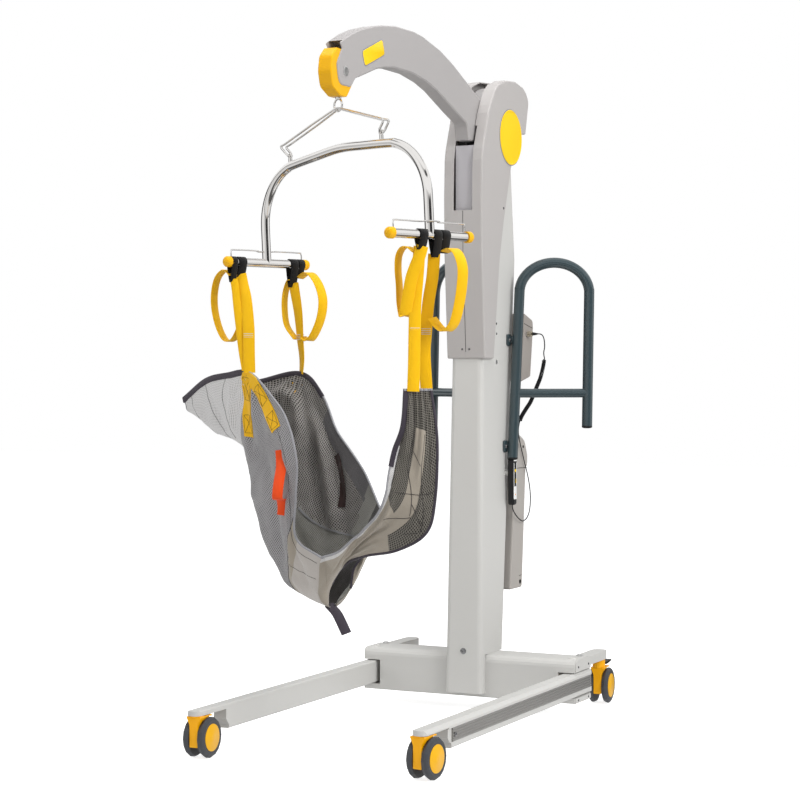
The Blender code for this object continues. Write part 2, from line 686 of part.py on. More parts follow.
def build_legs():
    """Each leg: a deep channel that thins to a toe plate over its front caster."""
    toe_y = FRONT_SWIVEL[1] - LEG_NOSE_OVERHANG
    toe_low = LEG_TOP - TOE_THICKNESS
    for side, name in ((-1, "left"), (1, "right")):
        body = "leg_" + name
        leg = slab([leg_section(side)], "XZ", toe_y, LEG_REAR_Y)
        nose_cut = slab([[
            (toe_y - 0.02, 0.0), (LEG_DEEP_FRONT_Y + 0.014, 0.0), (LEG_DEEP_FRONT_Y + 0.012, 0.066),
            (LEG_DEEP_FRONT_Y - 0.002, 0.082), (LEG_DEEP_FRONT_Y, toe_low), (toe_y - 0.02, toe_low)]],
            "YZ", side * 0.2, side * 0.4)
        inner = side * (LEG_X - LEG_HALF - 0.001)
        outer = side * (LEG_X + LEG_HALF + 0.001)
        plan = rounded(((inner, toe_y, 0.019), (outer, toe_y, 0.019),
                        (outer, LEG_REAR_Y, 0.010), (inner, LEG_REAR_Y, 0.010)), radians(18))
        plan_slab = slab([plan], "XY", 0.0, 0.2)
        pin_x = side * LEG_PIVOT_X
        pin_hole = rod((pin_x, LEG_PIVOT_Y, 0), (pin_x, LEG_PIVOT_Y, 0.2), PIVOT_RADIUS + GAP, 20)
        swivel_x = side * FRONT_SWIVEL[0]
        swivel_hole = rod((swivel_x, FRONT_SWIVEL[1], 0.05),
                          (swivel_x, FRONT_SWIVEL[1], FORK_HEAD_TOP + SWIVEL_PIN_DEPTH + GAP + 0.001),
                          SWIVEL_PIN_RADIUS + GAP, 16)
        leg = combine(cut(leg, nose_cut), "INTERSECT", [plan_slab])
        leg = cut(leg, pin_hole, swivel_hole)
        settle(leg, body, "paint", body)
        strip = build_leg_strip(side)
        settle(strip, "leg_strip_" + name, "aluminium", body)


def build_leg_strip(side):
    """The fluted bumper strip in the leg's outer face."""
    outer = LEG_X + LEG_HALF
    back = outer - STRIP_DEPTH + GAP
    low = STRIP_LOW + GAP
    high = STRIP_HIGH - GAP
    pitch = (high - low) / STRIP_RIBS
    section = [(back, low)]
    for rib in range(STRIP_RIBS):
        base = low + rib * pitch
        section += [(outer, base), (outer + RIB_HEIGHT, base + 0.3 * pitch),
                    (outer + RIB_HEIGHT, base + 0.6 * pitch), (outer, base + 0.85 * pitch)]
    section += [(outer, high), (back, high)]
    outline = [(side * x, z) for x, z in section]
    return slab([outline], "XZ", LEG_DEEP_FRONT_Y + 0.020, LEG_REAR_Y - 0.012)


def caster_swivels():
    """Each caster's name, its swivel's place, its heading and the body that carries it."""
    for name, heading in CASTER_HEADINGS.items():
        end, side = name.split("_")
        x, y = FRONT_SWIVEL if end == "front" else REAR_SWIVEL
        sign = -1 if side == "left" else 1
        carrier = "leg_" + side if end == "front" else "base"
        yield name, (sign * x, y), radians(heading), carrier


def turn_caster(piece, swivel, heading):
    """Move a piece made about the wheel's axle to its caster."""
    about = Matrix.Translation((*swivel, 0)) @ Matrix.Rotation(heading, 4, "Z")
    piece.data.transform(about @ Matrix.Translation((0, WHEEL_TRAIL, 0)))
    return piece


def build_caster_fork(raised):
    """The stem between the twin wheels, its flared head, its bearing race and its swivel pin."""
    outline = rounded((
        (-FORK_HALF, FORK_FOOT, 0.002), (FORK_HALF, FORK_FOOT, 0.002), (FORK_HALF, FORK_FLARE_LOW, 0.010),
        (FORK_HEAD_HALF, FORK_HEAD_TOP - 0.003, 0.002), (FORK_HEAD_HALF, FORK_HEAD_TOP, 0.001),
        (-FORK_HEAD_HALF, FORK_HEAD_TOP, 0.001), (-FORK_HEAD_HALF, FORK_HEAD_TOP - 0.003, 0.002),
        (-FORK_HALF, FORK_FLARE_LOW, 0.010)), radians(30))
    fork = slab([outline], "XZ", -FORK_FRONT, FORK_REAR)
    for side in (-1, 1):
        wheel_space = rod((side * FORK_HALF, 0, WHEEL_RADIUS), (side * 0.05, 0, WHEEL_RADIUS),
                          WHEEL_RADIUS + WHEEL_CLEARANCE, 24)
        fork = cut(fork, wheel_space)
    pin_top = FORK_HEAD_TOP + SWIVEL_PIN_DEPTH + raised
    race_top = LEG_TOP - TOE_THICKNESS - GAP + raised
    race_low = FORK_HEAD_TOP - 0.002
    spindle = turned(((0, pin_top), (SWIVEL_PIN_RADIUS, pin_top), (SWIVEL_PIN_RADIUS, race_top),
                      (RACE_RADIUS, race_top), (RACE_RADIUS, race_low), (0, race_low)),
                     (0, -WHEEL_TRAIL, 0), (0, 0, 1), 16)
    fork = join(fork, spindle)
    axle_hole = rod((-0.05, 0, WHEEL_RADIUS), (0.05, 0, WHEEL_RADIUS), AXLE_RADIUS + GAP, 16)
    if not raised:
        return cut(fork, axle_hole)
    hinge_hole = rod((-0.05, PEDAL_HINGE_Y, PEDAL_HINGE_Z), (0.05, PEDAL_HINGE_Y, PEDAL_HINGE_Z),
                     PEDAL_HINGE_RADIUS + GAP, 12)
    return cut(join(fork, build_brake_lug()), axle_hole, hinge_hole)


def build_caster_wheels():
    """The two wheels and their axle, turned in one profile."""
    half = ((0, WHEEL_OUTER - 0.0005), (DISC_RADIUS, WHEEL_OUTER - 0.0010), (0.0405, WHEEL_OUTER),
            (0.0465, WHEEL_OUTER - 0.0025), (WHEEL_RADIUS, WHEEL_OUTER - 0.0075), (0.0460, WHEEL_INNER),
            (AXLE_RADIUS, WHEEL_INNER))
    profile = list(half) + [(radius, -height) for radius, height in reversed(half)]
    return turned(profile, (0, 0, WHEEL_RADIUS), (1, 0, 0), 16)


def build_casters():
    """Four swivel casters, the rear two with a brake pedal."""
    beam_arm_low = BEAM_TOP - 0.004 - REAR_ARM_THICKNESS
    rear_raise = beam_arm_low - (LEG_TOP - TOE_THICKNESS)
    for name, swivel, heading, carrier in caster_swivels():
        raised = rear_raise if name.startswith("rear") else 0.0
        fork_body = "caster_" + name
        add_body(fork_body, carrier, (*swivel, FORK_HEAD_TOP))
        fork = turn_caster(build_caster_fork(raised), swivel, heading)
        settle(fork, "caster_fork_" + name, "amber", fork_body)
        axle = turn_vector((0, WHEEL_TRAIL), heading)
        wheel_body = "wheels_" + name
        add_body(wheel_body, fork_body, (swivel[0] + axle[0], swivel[1] + axle[1], WHEEL_RADIUS))
        wheels = turn_caster(build_caster_wheels(), swivel, heading)
        settle(wheels, "caster_wheels_" + name, "tyre", wheel_body)
        if raised:
            build_brake_pedal(name, swivel, heading, fork_body)


def turn_vector(vector, heading):
    """A plan vector turned by a heading."""
    return (vector[0] * cos(heading) - vector[1] * sin(heading),
            vector[0] * sin(heading) + vector[1] * cos(heading))


def build_brake_lug():
    """The lug behind a rear caster's bearing race that its pedal hinges on."""
    reach = PEDAL_HINGE_RADIUS + 0.0030
    return block((-PEDAL_LUG_HALF, PEDAL_HINGE_Y - reach, FORK_HEAD_TOP - 0.006),
                 (PEDAL_LUG_HALF, PEDAL_HINGE_Y + reach, PEDAL_HINGE_Z + reach))


def build_brake_pedal(name, swivel, heading, fork_body):
    """The foot pedal that locks a rear caster: a tread on two arms and a pin through the lug."""
    body = "brake_" + name
    hinge = turn_vector((0, WHEEL_TRAIL + PEDAL_HINGE_Y), heading)
    add_body(body, fork_body, (swivel[0] + hinge[0], swivel[1] + hinge[1], PEDAL_HINGE_Z))
    inner = PEDAL_LUG_HALF + GAP
    front = PEDAL_HINGE_Y - 0.005
    root = PEDAL_HINGE_Y + 0.008
    side_view = [(front, PEDAL_HINGE_Z - 0.003), (root, PEDAL_HINGE_Z - 0.003), (PEDAL_REACH, PEDAL_HINGE_Z),
                 (PEDAL_REACH + 0.004, PEDAL_HINGE_Z + 0.004), (root, PEDAL_HINGE_Z + 0.0035),
                 (front, PEDAL_HINGE_Z + 0.0035)]
    pedal = slab([side_view], "YZ", -PEDAL_HALF, PEDAL_HALF)
    space = block((-inner, front - 0.01, 0.08), (inner, root, 0.16))
    pin = rod((-inner - 0.002, PEDAL_HINGE_Y, PEDAL_HINGE_Z), (inner + 0.002, PEDAL_HINGE_Y, PEDAL_HINGE_Z),
              PEDAL_HINGE_RADIUS, 12)
    pedal = join(cut(pedal, space), pin)
    settle(turn_caster(pedal, swivel, heading), "brake_pedal_" + name, "black", body)


def ear_rear(z):
    """The y of the ears' rear edge at a height between the mast's shoulder and the boom's pivot."""
    top = (BOOM_PIVOT[0] + EAR_RADIUS * cos(EAR_START), BOOM_PIVOT[1] + EAR_RADIUS * sin(EAR_START))
    share = (z - MAST_SHOULDER) / (top[1] - MAST_SHOULDER)
    return mast_rear(MAST_SHOULDER) * (1 - share) + top[0] * share


def build_mast():
    """The tapering mast, straddling the beam's front, with the boom's two ears and the handset's boss."""
    gap_top = BOOM_PIVOT[1] - 2 * EAR_RADIUS
    below = MAST_FOOT - 0.03
    profile = [
        (mast_front(below), below), (mast_rear(below), below), (mast_rear(MAST_SHOULDER), MAST_SHOULDER)]
    profile += arc_points(BOOM_PIVOT, EAR_RADIUS, EAR_START, pi - EAR_START, 12)
    profile += [(EAR_FRONT, MAST_SHOULDER), (mast_front(MAST_SHOULDER), MAST_SHOULDER)]
    mast = slab([profile], "YZ", -MAST_HALF_FOOT, MAST_HALF_FOOT)
    for vertex in mast.data.vertices:
        vertex.co.x *= mast_half(vertex.co.z) / MAST_HALF_FOOT
    mast = bevel(mast, MAST_CORNER, 3, 50)
    straddle = block((-0.1, -GAP, below - 0.02), (0.1, 0.2, BEAM_TOP + GAP))
    foot_cut = block((-0.1, -0.1, below - 0.01), (0.1, 0.1, MAST_FOOT))
    fork_gap = slab([[
        (-BEYOND, MAST_SHOULDER - 0.002), (mast_rear(MAST_SHOULDER) - REAR_WEB, MAST_SHOULDER - 0.002),
        (ear_rear(gap_top) - REAR_WEB, gap_top), (BEYOND, gap_top), (BEYOND, BEYOND), (-BEYOND, BEYOND)]],
        "YZ", -EAR_INNER, EAR_INNER)
    well = block((-EAR_INNER, WELL_FRONT, WELL_BOTTOM), (EAR_INNER, WELL_REAR, MAST_SHOULDER + 0.01))
    shaft_hole = rod((-0.1, *BOOM_PIVOT), (0.1, *BOOM_PIVOT), PIVOT_SHAFT_RADIUS + GAP, 16)
    pin_hole = rod((-0.1, *ACTUATOR_BASE), (0.1, *ACTUATOR_BASE), 0.006 + GAP, 16)
    hook = rod((HOOK_ROOT_X, HANDSET_CENTRE[1], HOOK_Z),
               (HANDSET_CENTRE[0] - HANDSET_HALF_THICKNESS - GAP, HANDSET_CENTRE[1], HOOK_Z), 0.008, 16)
    mast = join(cut(mast, straddle, foot_cut, fork_gap, well, shaft_hole, pin_hole), hook)
    settle(mast, "mast", "paint")


def inset_outline(corners, distance):
    """The outline's corners moved inward by a distance, for a cavity behind a wall."""
    moved = []
    for index, (a, b, radius) in enumerate(corners):
        here = Vector((a, b))
        back = (Vector(corners[index - 1][:2]) - here).normalized()
        ahead = (Vector(corners[(index + 1) % len(corners)][:2]) - here).normalized()
        inward = (Vector((-ahead.y, ahead.x)) + Vector((back.y, -back.x))).normalized()
        lift = distance / max(0.3, inward.dot(Vector((-ahead.y, ahead.x))))
        moved.append((a + inward.x * lift, b + inward.y * lift, max(0.0, radius - distance)))
    return moved


def cover_shell():
    """Both half shells in one piece, hollow, open at the lower rear and slotted for the boom."""
    outline = list(reversed(COVER_OUTLINE))
    shell = slab([rounded(outline, radians(24))], "YZ", -COVER_HALF, COVER_HALF)
    shell = bevel(shell, COVER_CORNER, 2, 60)
    inner_x = mast_half(COVER_OUTLINE[0][1]) + 2 * GAP
    cavity = slab([rounded(inset_outline(outline, COVER_WALL), radians(24))], "YZ", -inner_x, inner_x)
    open_rear = slab([COVER_OPENING], "YZ", -inner_x + GAP, inner_x - GAP)
    front_slot = block((-SLOT_HALF, -0.1, SLOT_LOW), (SLOT_HALF, 0.03, SLOT_HIGH))
    top_slot = block((-TOP_SLOT_HALF, -0.1, SLOT_HIGH - 0.01), (TOP_SLOT_HALF, 0.255, 1.80))
    return cut(shell, cavity, open_rear, front_slot, top_slot)


def build_covers():
    """The left and right half shells over the boom's pivot, parted at the middle."""
    for side, name in ((-1, "left"), (1, "right")):
        near = -side * BEYOND
        far = side * GAP / 2
        other_half = block((min(near, far), -BEYOND, 0), (max(near, far), BEYOND, BEYOND))
        settle(cut(cover_shell(), other_half), "mast_cover_" + name, "shell")


def build_boom():
    """The arched boom with its hub, its clevis for the actuator and the side plates at its tip."""
    outline = rounded(list(reversed(BOOM_OUTLINE)), radians(12))
    boom = bevel(slab([outline], "YZ", -BOOM_HALF, BOOM_HALF), 0.003, 1, 60)
    hub_centre = Vector(BOOM_PIVOT)
    hub_outline = arc_points(BOOM_PIVOT, HUB_RADIUS, radians(45), radians(192), 24)
    hub_outline += arc_points(BOOM_PIVOT, 0.045, radians(225), radians(405), 10)
    hub = slab([hub_outline], "YZ", -HUB_HALF, HUB_HALF)
    boom = join(boom, hub)
    shaft_hole = rod((-0.1, *BOOM_PIVOT), (0.1, *BOOM_PIVOT), PIVOT_SHAFT_RADIUS + GAP, 16)
    lug_point = hub_centre + ACTUATOR_ARM * Vector((cos(ACTUATOR_ARM_ANGLE), sin(ACTUATOR_ARM_ANGLE)))
    rod_way = arc_points(lug_point, ROD_SPACE_RADIUS, 0, radians(165), 9)
    below = lug_point.y - 0.160
    rod_way += [(lug_point.x - ROD_SPACE_FORWARD, lug_point.y + 0.002),
                (lug_point.x - ROD_SPACE_FORWARD, below), (lug_point.x + ROD_SPACE_RADIUS, below)]
    rod_space = slab([rod_way], "YZ", -ROD_SPACE_HALF, ROD_SPACE_HALF)
    nose_space = rod((-NOSE_HALF - 0.0005, *NOSE_PIVOT), (NOSE_HALF + 0.0005, *NOSE_PIVOT), NOSE_CAVITY_RADIUS, 32)
    pin_hole = rod((-0.1, *NOSE_PIVOT), (0.1, *NOSE_PIVOT), NOSE_PIN_RADIUS + GAP, 14)
    boom = cut(boom, shaft_hole, rod_space, nose_space, pin_hole)
    settle(boom, "boom", "shell", "boom")
    pin_length = BOOM_HALF - 0.0005
    pin = rod((-pin_length, *NOSE_PIVOT), (pin_length, *NOSE_PIVOT), NOSE_PIN_RADIUS, 14)
    settle(pin, "boom_nose_pin", "steel", "boom")


def build_shutter():
    """The plate behind the covers' front slot, with a pull rib, that slides down ahead of the boom."""
    plate = block((-SHUTTER_HALF, SHUTTER_FRONT, SHUTTER_LOW),
                  (SHUTTER_HALF, SHUTTER_FRONT + SHUTTER_THICKNESS, SHUTTER_HIGH))
    settle(bevel(plate, 0.0008, 1), "slot_shutter", "shell", "shutter")


def build_pivot_shaft():
    """The shaft through the mast's ears that the boom turns on."""
    reach = mast_half(BOOM_PIVOT[1]) + 0.002
    shaft = rod((-reach, *BOOM_PIVOT), (reach, *BOOM_PIVOT), PIVOT_SHAFT_RADIUS, 16)
    settle(shaft, "boom_pivot_shaft", "steel")


def build_nose():
    """The nose: a rounded block between the boom's side plates, full round its front and below."""
    y, z = NOSE_PIVOT
    core_outline = rounded((
        (y - 0.0405, z + 0.051, 0.004), (y - 0.003, z + 0.051, 0.004), (y + 0.028, z + 0.022, 0.010),
        (y + 0.041, z - 0.026, 0.010), (y + 0.012, NOSE_BOTTOM, 0.012), (y - 0.020, NOSE_BOTTOM, 0.016),
        (y - 0.060, z - 0.044, 0.020), (y - 0.0710, z - 0.007, 0.030), (y - 0.0640, z + 0.030, 0.02)))
    nose = bevel(slab([core_outline], "YZ", -NOSE_HALF, NOSE_HALF), 0.002, 1, 60)
    pin_hole = rod((-0.1, *NOSE_PIVOT), (0.1, *NOSE_PIVOT), NOSE_PIN_RADIUS + GAP, 14)
    shank_hole = rod((0, y, NOSE_BOTTOM - 0.02), (0, y, NOSE_BOTTOM + 0.022), SWIVEL_SHANK_RADIUS + GAP, 20)
    nose = cut(nose, pin_hole, shank_hole)
    settle(nose, "boom_nose", "yellow", "nose")


def spreader_point(along, across, drop):
    """A place on the tilted spreader: along its bars, across from bar to bar, below the ring."""
    turned_across = across * cos(SPREADER_TILT) + drop * sin(SPREADER_TILT)
    rise = across * sin(SPREADER_TILT) - drop * cos(SPREADER_TILT)
    return sling_point(along, turned_across, RING_Z + rise)


def sling_point(along, across, height):
    """A place from its distances along the bars and across from the swivel, and its height."""
    x = along * sin(SPREADER_HEADING) + across * cos(SPREADER_HEADING)
    y = NOSE_PIVOT[0] + along * cos(SPREADER_HEADING) - across * sin(SPREADER_HEADING)
    return Vector((x, y, height))


def build_swivel_eye():
    """The ring that hangs in the nose on a turning shank."""
    y = NOSE_PIVOT[0]
    count = 16
    path = []
    side_way = sling_point(0, 1, 0) - sling_point(0, 0, 0)
    for step in range(count):
        angle = 2 * pi * step / count
        out = cos(angle) * side_way + sin(angle) * Vector((0, 0, 1))
        path.append(Vector((0, y, RING_Z)) + RING_RADIUS * out)
    ring = tube(path, RING_WIRE, 1, closed=True)
    top = NOSE_BOTTOM + 0.016
    neck = RING_Z + RING_RADIUS
    shank = turned(((0, top), (SWIVEL_SHANK_RADIUS, top), (SWIVEL_SHANK_RADIUS, NOSE_BOTTOM - GAP),
                    (0.0075, NOSE_BOTTOM - GAP), (0.0075, NOSE_BOTTOM - 0.0025), (0.0045, neck), (0, neck)),
                   (0, y, 0), (0, 0, 1), 20)
    settle(join(shank, ring), "swivel_eye", "chrome", "spreader")


def spreader_path():
    """The bent tube from bar to bar as (across, drop) points."""
    half = []
    crown_angle = radians(8)
    bend_centre = (BAR_ACROSS - BEND_RADIUS, LEG_STRAIGHT_DROP)
    half.append((BAR_ACROSS, BAR_DROP))
    half.append((BAR_ACROSS, (BAR_DROP + LEG_STRAIGHT_DROP) / 2))
    steps = 9
    for step in range(steps + 1):
        angle = (pi / 2 - crown_angle) * step / steps
        half.append((bend_centre[0] + BEND_RADIUS * cos(angle), bend_centre[1] - BEND_RADIUS * sin(angle)))
    last = half[-1]
    half.append((last[0] / 2, (last[1] + CROWN_DROP) / 2 - 0.001))
    mirrored = [(-across, drop) for across, drop in half]
    return mirrored + [(0, CROWN_DROP)] + list(reversed(half))


def tube_drop(across):
    """The drop of the bent tube's centre line at a distance across."""
    path = spreader_path()
    for (a0, d0), (a1, d1) in zip(path, path[1:]):
        if a0 <= across <= a1 and a1 > a0:
            return d0 + (d1 - d0) * (across - a0) / (a1 - a0)
    return CROWN_DROP


def build_spreader_frame():
    """The bent tube, its two hanger bars and the lugs that the links hold."""
    path = [spreader_point(0, across, drop) for across, drop in spreader_path()]
    frame = tube(path, TUBE_RADIUS, 2)
    bars = []
    for side in (-1, 1):
        start = spreader_point(-BAR_HALF, side * BAR_ACROSS, BAR_DROP)
        end = spreader_point(BAR_HALF, side * BAR_ACROSS, BAR_DROP)
        bars.append(rod(start, end, TUBE_RADIUS - 0.0002, 14))
    lugs = []
    for across in (LEFT_LUG_ACROSS, RIGHT_LUG_ACROSS):
        drop = tube_drop(across)
        low = spreader_point(0, across, drop)
        high = spreader_point(0, across, drop - LUG_HEIGHT)
        lug = rod(low, high, 0.0052, 8)
        eye_start = spreader_point(-0.0045, across, drop - LUG_HEIGHT)
        eye_end = spreader_point(0.0045, across, drop - LUG_HEIGHT)
        lugs += [lug, rod(eye_start, eye_end, 0.0075, 12)]
    frame = join(frame, *bars, *lugs)
    holes = []
    for across in (LEFT_LUG_ACROSS, RIGHT_LUG_ACROSS):
        drop = tube_drop(across) - LUG_HEIGHT
        holes.append(rod(spreader_point(-0.02, across, drop), spreader_point(0.02, across, drop),
                         LINK_WIRE + GAP, 10))
    frame = cut(frame, *holes)
    settle(frame, "spreader_frame", "chrome", "spreader", 40)


def build_links():
    """Each closed wire link from the ring to its lug on the spreader."""
    clear = RING_RADIUS - RING_WIRE - LINK_WIRE - GAP
    for side, lug_across, name in ((-1, LEFT_LUG_ACROSS, "left"), (1, RIGHT_LUG_ACROSS, "right")):
        ring_across = side * (LINK_WIRE + 0.0004)
        ring_z = RING_Z - sqrt(clear ** 2 - ring_across ** 2)
        lug_drop = tube_drop(lug_across) - LUG_HEIGHT
        lug = spreader_point(0, lug_across, lug_drop)
        top = sling_point(0, ring_across, ring_z)
        bend = spreader_point(0, lug_across * 1.12, lug_drop - 0.026)
        along = sling_point(1, 0, 0) - sling_point(0, 0, 0)
        run = [top, top.lerp(bend, 0.5), top.lerp(bend, 0.9), bend, lug.lerp(bend, 0.4), lug]
        run = smooth_path(run, 3)
        near = [point + along * LINK_SPACING * spread(index, len(run)) for index, point in enumerate(run)]
        far = [point - along * LINK_SPACING * spread(index, len(run)) for index, point in enumerate(run)]
        path = near + list(reversed(far))
        link_wire = tube(path, LINK_WIRE, 1, closed=True)
        settle(link_wire, "hanger_link_" + name, "chrome", "spreader", 40)


def spread(index, count):
    """How far apart a link's two wires stand at a point of its run: drawn in a little at its ends."""
    from_end = min(index, count - 1 - index)
    return 1.0 if from_end > 0 else 0.85


def build_bar_caps():
    """The domed cap on each end of both bars."""
    along = sling_point(1, 0, 0) - sling_point(0, 0, 0)
    dome = [(CAP_RADIUS * cos(angle), 0.010 * sin(angle)) for angle in (pi / 2, 0.9, 0.4)]
    inner = TUBE_RADIUS + GAP
    profile = [(0, dome[0][1])] + dome[1:]
    profile += [(CAP_RADIUS, 0), (CAP_RADIUS, -CAP_LENGTH), (inner, -CAP_LENGTH), (inner, 0), (0, 0)]
    for side, bar in ((-1, "left"), (1, "right")):
        for end, place in ((-1, "front"), (1, "rear")):
            centre = spreader_point(end * (BAR_HALF + GAP), side * BAR_ACROSS, BAR_DROP)
            cap = turned(profile, centre, along * end, 14)
            settle(cap, f"bar_cap_{bar}_{place}", "yellow", "spreader")


def build_strap_keepers():
    """The sprung wire over each bar that keeps the sling's loops on."""
    foot = BAR_HALF - CAP_LENGTH - KEEPER_WIRE - GAP
    for side, name in ((-1, "left"), (1, "right")):
        across = side * BAR_ACROSS
        seat = BAR_DROP - TUBE_RADIUS - KEEPER_WIRE - GAP
        beside = across + side * (TUBE_RADIUS + KEEPER_WIRE + 0.001)
        high = BAR_DROP - KEEPER_RISE
        route = [(-foot, across, seat), (-foot, across, high + 0.006), (-foot + 0.006, across, high),
                 (-0.030, across, high), (-0.016, beside, high), (0.016, beside, high), (0.030, across, high),
                 (foot - 0.006, across, high), (foot, across, high + 0.006), (foot, across, seat)]
        path = [spreader_point(*point) for point in route]
        keeper = tube(path, KEEPER_WIRE, 1)
        settle(keeper, "strap_keeper_" + name, "chrome", "spreader")


def actuator_lug():
    """Where the actuator's rod meets the boom, at rest."""
    return (BOOM_PIVOT[0] + ACTUATOR_ARM * cos(ACTUATOR_ARM_ANGLE),
            BOOM_PIVOT[1] + ACTUATOR_ARM * sin(ACTUATOR_ARM_ANGLE))


def build_actuator():
    """The lifting actuator in the mast: its body on a pin, and the rod that it drives."""
    lug = Vector(actuator_lug())
    base = Vector(ACTUATOR_BASE)
    line = (lug - base).normalized()

    def at(distance, x=0.0):
        place = base + line * distance
        return (x, place.x, place.y)

    body = rod(at(-0.010), at(ACTUATOR_TUBE_LENGTH), ACTUATOR_RADIUS, 14)
    motor = rod(at(0.012), at(0.110), ACTUATOR_RADIUS + 0.006, 14)
    body = join(body, motor)
    bore = rod(at(0.030), at(ACTUATOR_TUBE_LENGTH + 0.01), ACTUATOR_ROD_RADIUS + GAP, 16)
    pin_hole = rod((-0.1, *ACTUATOR_BASE), (0.1, *ACTUATOR_BASE), 0.006 + GAP, 16)
    body = cut(body, bore, pin_hole)
    settle(body, "actuator_body", "black", "actuator")
    reach = (lug - base).length - CLEVIS_CLEARANCE
    push_rod = rod(at(0.140), at(reach), ACTUATOR_ROD_RADIUS, 16)
    settle(push_rod, "actuator_rod", "steel", "actuator_rod")
    half = mast_half(ACTUATOR_BASE[1]) - 0.0005
    pin = rod((-half, *ACTUATOR_BASE), (half, *ACTUATOR_BASE), 0.006, 16)
    settle(pin, "actuator_pin", "steel")


def build_control_box():
    """The control box on the mast's rear, with the handset's socket in its side."""
    low_y = mast_rear(CONTROL_LOW) + GAP
    high_y = mast_rear(CONTROL_HIGH) + GAP
    corners = [(low_y, CONTROL_LOW, 0.003), (high_y, CONTROL_HIGH, 0.002)] + list(CONTROL_OUTLINE)
    outline = rounded(list(reversed(corners)), radians(22))
    box = bevel(slab([outline], "YZ", -CONTROL_HALF, CONTROL_HALF), 0.004, 1, 60)
    y, z = SOCKET_PLACE
    boss = rod((CONTROL_HALF - 0.010, y, z), (CONTROL_HALF + 0.003, y, z), SOCKET_RADIUS, 20)
    pocket = rod((CONTROL_HALF - 0.008, y, z), (CONTROL_HALF + 0.01, y, z), 0.0062, 16)
    box = cut(join(box, boss), pocket)
    settle(box, "control_box", "box")


def build_battery():
    """The dock on the mast's rear and the battery pack that lifts off it."""
    low_y = mast_rear(DOCK_LOW) + GAP
    high_y = mast_rear(DOCK_HIGH) + GAP
    dock = slab([rounded((
        (low_y, DOCK_LOW, 0.002), (low_y + DOCK_THICKNESS, DOCK_LOW, 0.010),
        (high_y + DOCK_THICKNESS, DOCK_HIGH, 0.004), (high_y, DOCK_HIGH, 0.002)))],
        "YZ", -DOCK_HALF, DOCK_HALF)
    settle(dock, "battery_dock", "black")
    front_low = mast_rear(BATTERY_LOW) + DOCK_THICKNESS + 3 * GAP
    front_high = mast_rear(BATTERY_HIGH) + DOCK_THICKNESS + 3 * GAP
    corners = [(front_low, BATTERY_LOW, 0.006), (front_high, BATTERY_HIGH, 0.006)] + list(BATTERY_OUTLINE)
    pack = slab([rounded(list(reversed(corners)), radians(18))], "YZ", -BATTERY_HALF, BATTERY_HALF)
    settle(bevel(pack, 0.005, 2, 60), "battery_pack", "box", "battery")


def handle_inner_y(z):
    """The y of the handle's mast-side tube at a height."""
    return mast_rear(z) - HANDLE_SETBACK


def handle_outer_y(z):
    """The y of the handle's outer tube at a height."""
    return 0.290 + 0.042 * (z - HANDLE_OUTER_LOW)


def build_handles():
    """Each push handle: a bent tube with a cross grip, held to the mast's side by two clamps."""
    arch = (HANDLE_OUTER_X - HANDLE_INNER_X) / 2
    arch_z = HANDLE_TOP - arch
    middle_x = (HANDLE_OUTER_X + HANDLE_INNER_X) / 2
    for side, name in ((-1, "left"), (1, "right")):
        path = []
        for step in range(4):
            z = HANDLE_INNER_LOW + (arch_z - HANDLE_INNER_LOW) * step / 4
            path.append(Vector((side * HANDLE_INNER_X, handle_inner_y(z), z)))
        count = 10
        for step in range(count + 1):
            angle = pi * step / count
            share = (1 - cos(angle)) / 2
            y = handle_inner_y(arch_z) * (1 - share) + handle_outer_y(arch_z) * share
            path.append(Vector((side * (middle_x - arch * cos(angle)), y, arch_z + arch * sin(angle))))
        for step in range(1, 4):
            z = arch_z + (HANDLE_OUTER_LOW - arch_z) * step / 3
            path.append(Vector((side * HANDLE_OUTER_X, handle_outer_y(z), z)))
        handle = tube(path, HANDLE_RADIUS, 2)
        grip = rod((side * HANDLE_INNER_X, handle_inner_y(HANDLE_GRIP_Z), HANDLE_GRIP_Z),
                   (side * HANDLE_OUTER_X, handle_outer_y(HANDLE_GRIP_Z), HANDLE_GRIP_Z), GRIP_RADIUS, 14)
        clamps = []
        for z in HANDLE_CLAMPS:
            y = handle_inner_y(z)
            seat = side * (mast_half(z) + GAP)
            clamps.append(rod((seat, y, z), (side * HANDLE_INNER_X, y, z), CLAMP_RADIUS, 14))
        handle = join(handle, grip, *clamps)
        settle(handle, "push_handle_" + name, "handle", "base", 40)


def build_handset():
    """The handset on its hook, with its keys and its stop disc."""
    x, y = HANDSET_CENTRE
    half = HANDSET_HALF_WIDTH
    widest = HANDSET_HIGH - 0.020
    outline = rounded((
        (y - half + 0.003, HANDSET_LOW, 0.006), (y + half - 0.003, HANDSET_LOW, 0.006),
        (y + half, widest, 0.020), (y + half - 0.002, HANDSET_HIGH, 0.006),
        (y - half + 0.002, HANDSET_HIGH, 0.006), (y - half, widest, 0.020)), radians(22))
    front = x + HANDSET_HALF_THICKNESS
    body = bevel(slab([outline], "YZ", x - HANDSET_HALF_THICKNESS, front), 0.003, 1, 60)
    places = [(z, BUTTON_RADIUS) for z in BUTTON_HEIGHTS] + [(STOP_DISC_Z, STOP_DISC_RADIUS)]
    for z, radius in places:
        body = cut(body, rod((front - BUTTON_DEPTH, y, z), (front + 0.01, y, z), radius + GAP, 12))
    settle(body, "handset", "black")
    names = ("raise", "lower", "open_legs", "close_legs")
    for z, name in zip(BUTTON_HEIGHTS, names):
        build_button("handset_key_" + name, BUTTON_RADIUS, front, y, z)
    build_button("handset_stop_disc", STOP_DISC_RADIUS, front, y, STOP_DISC_Z)


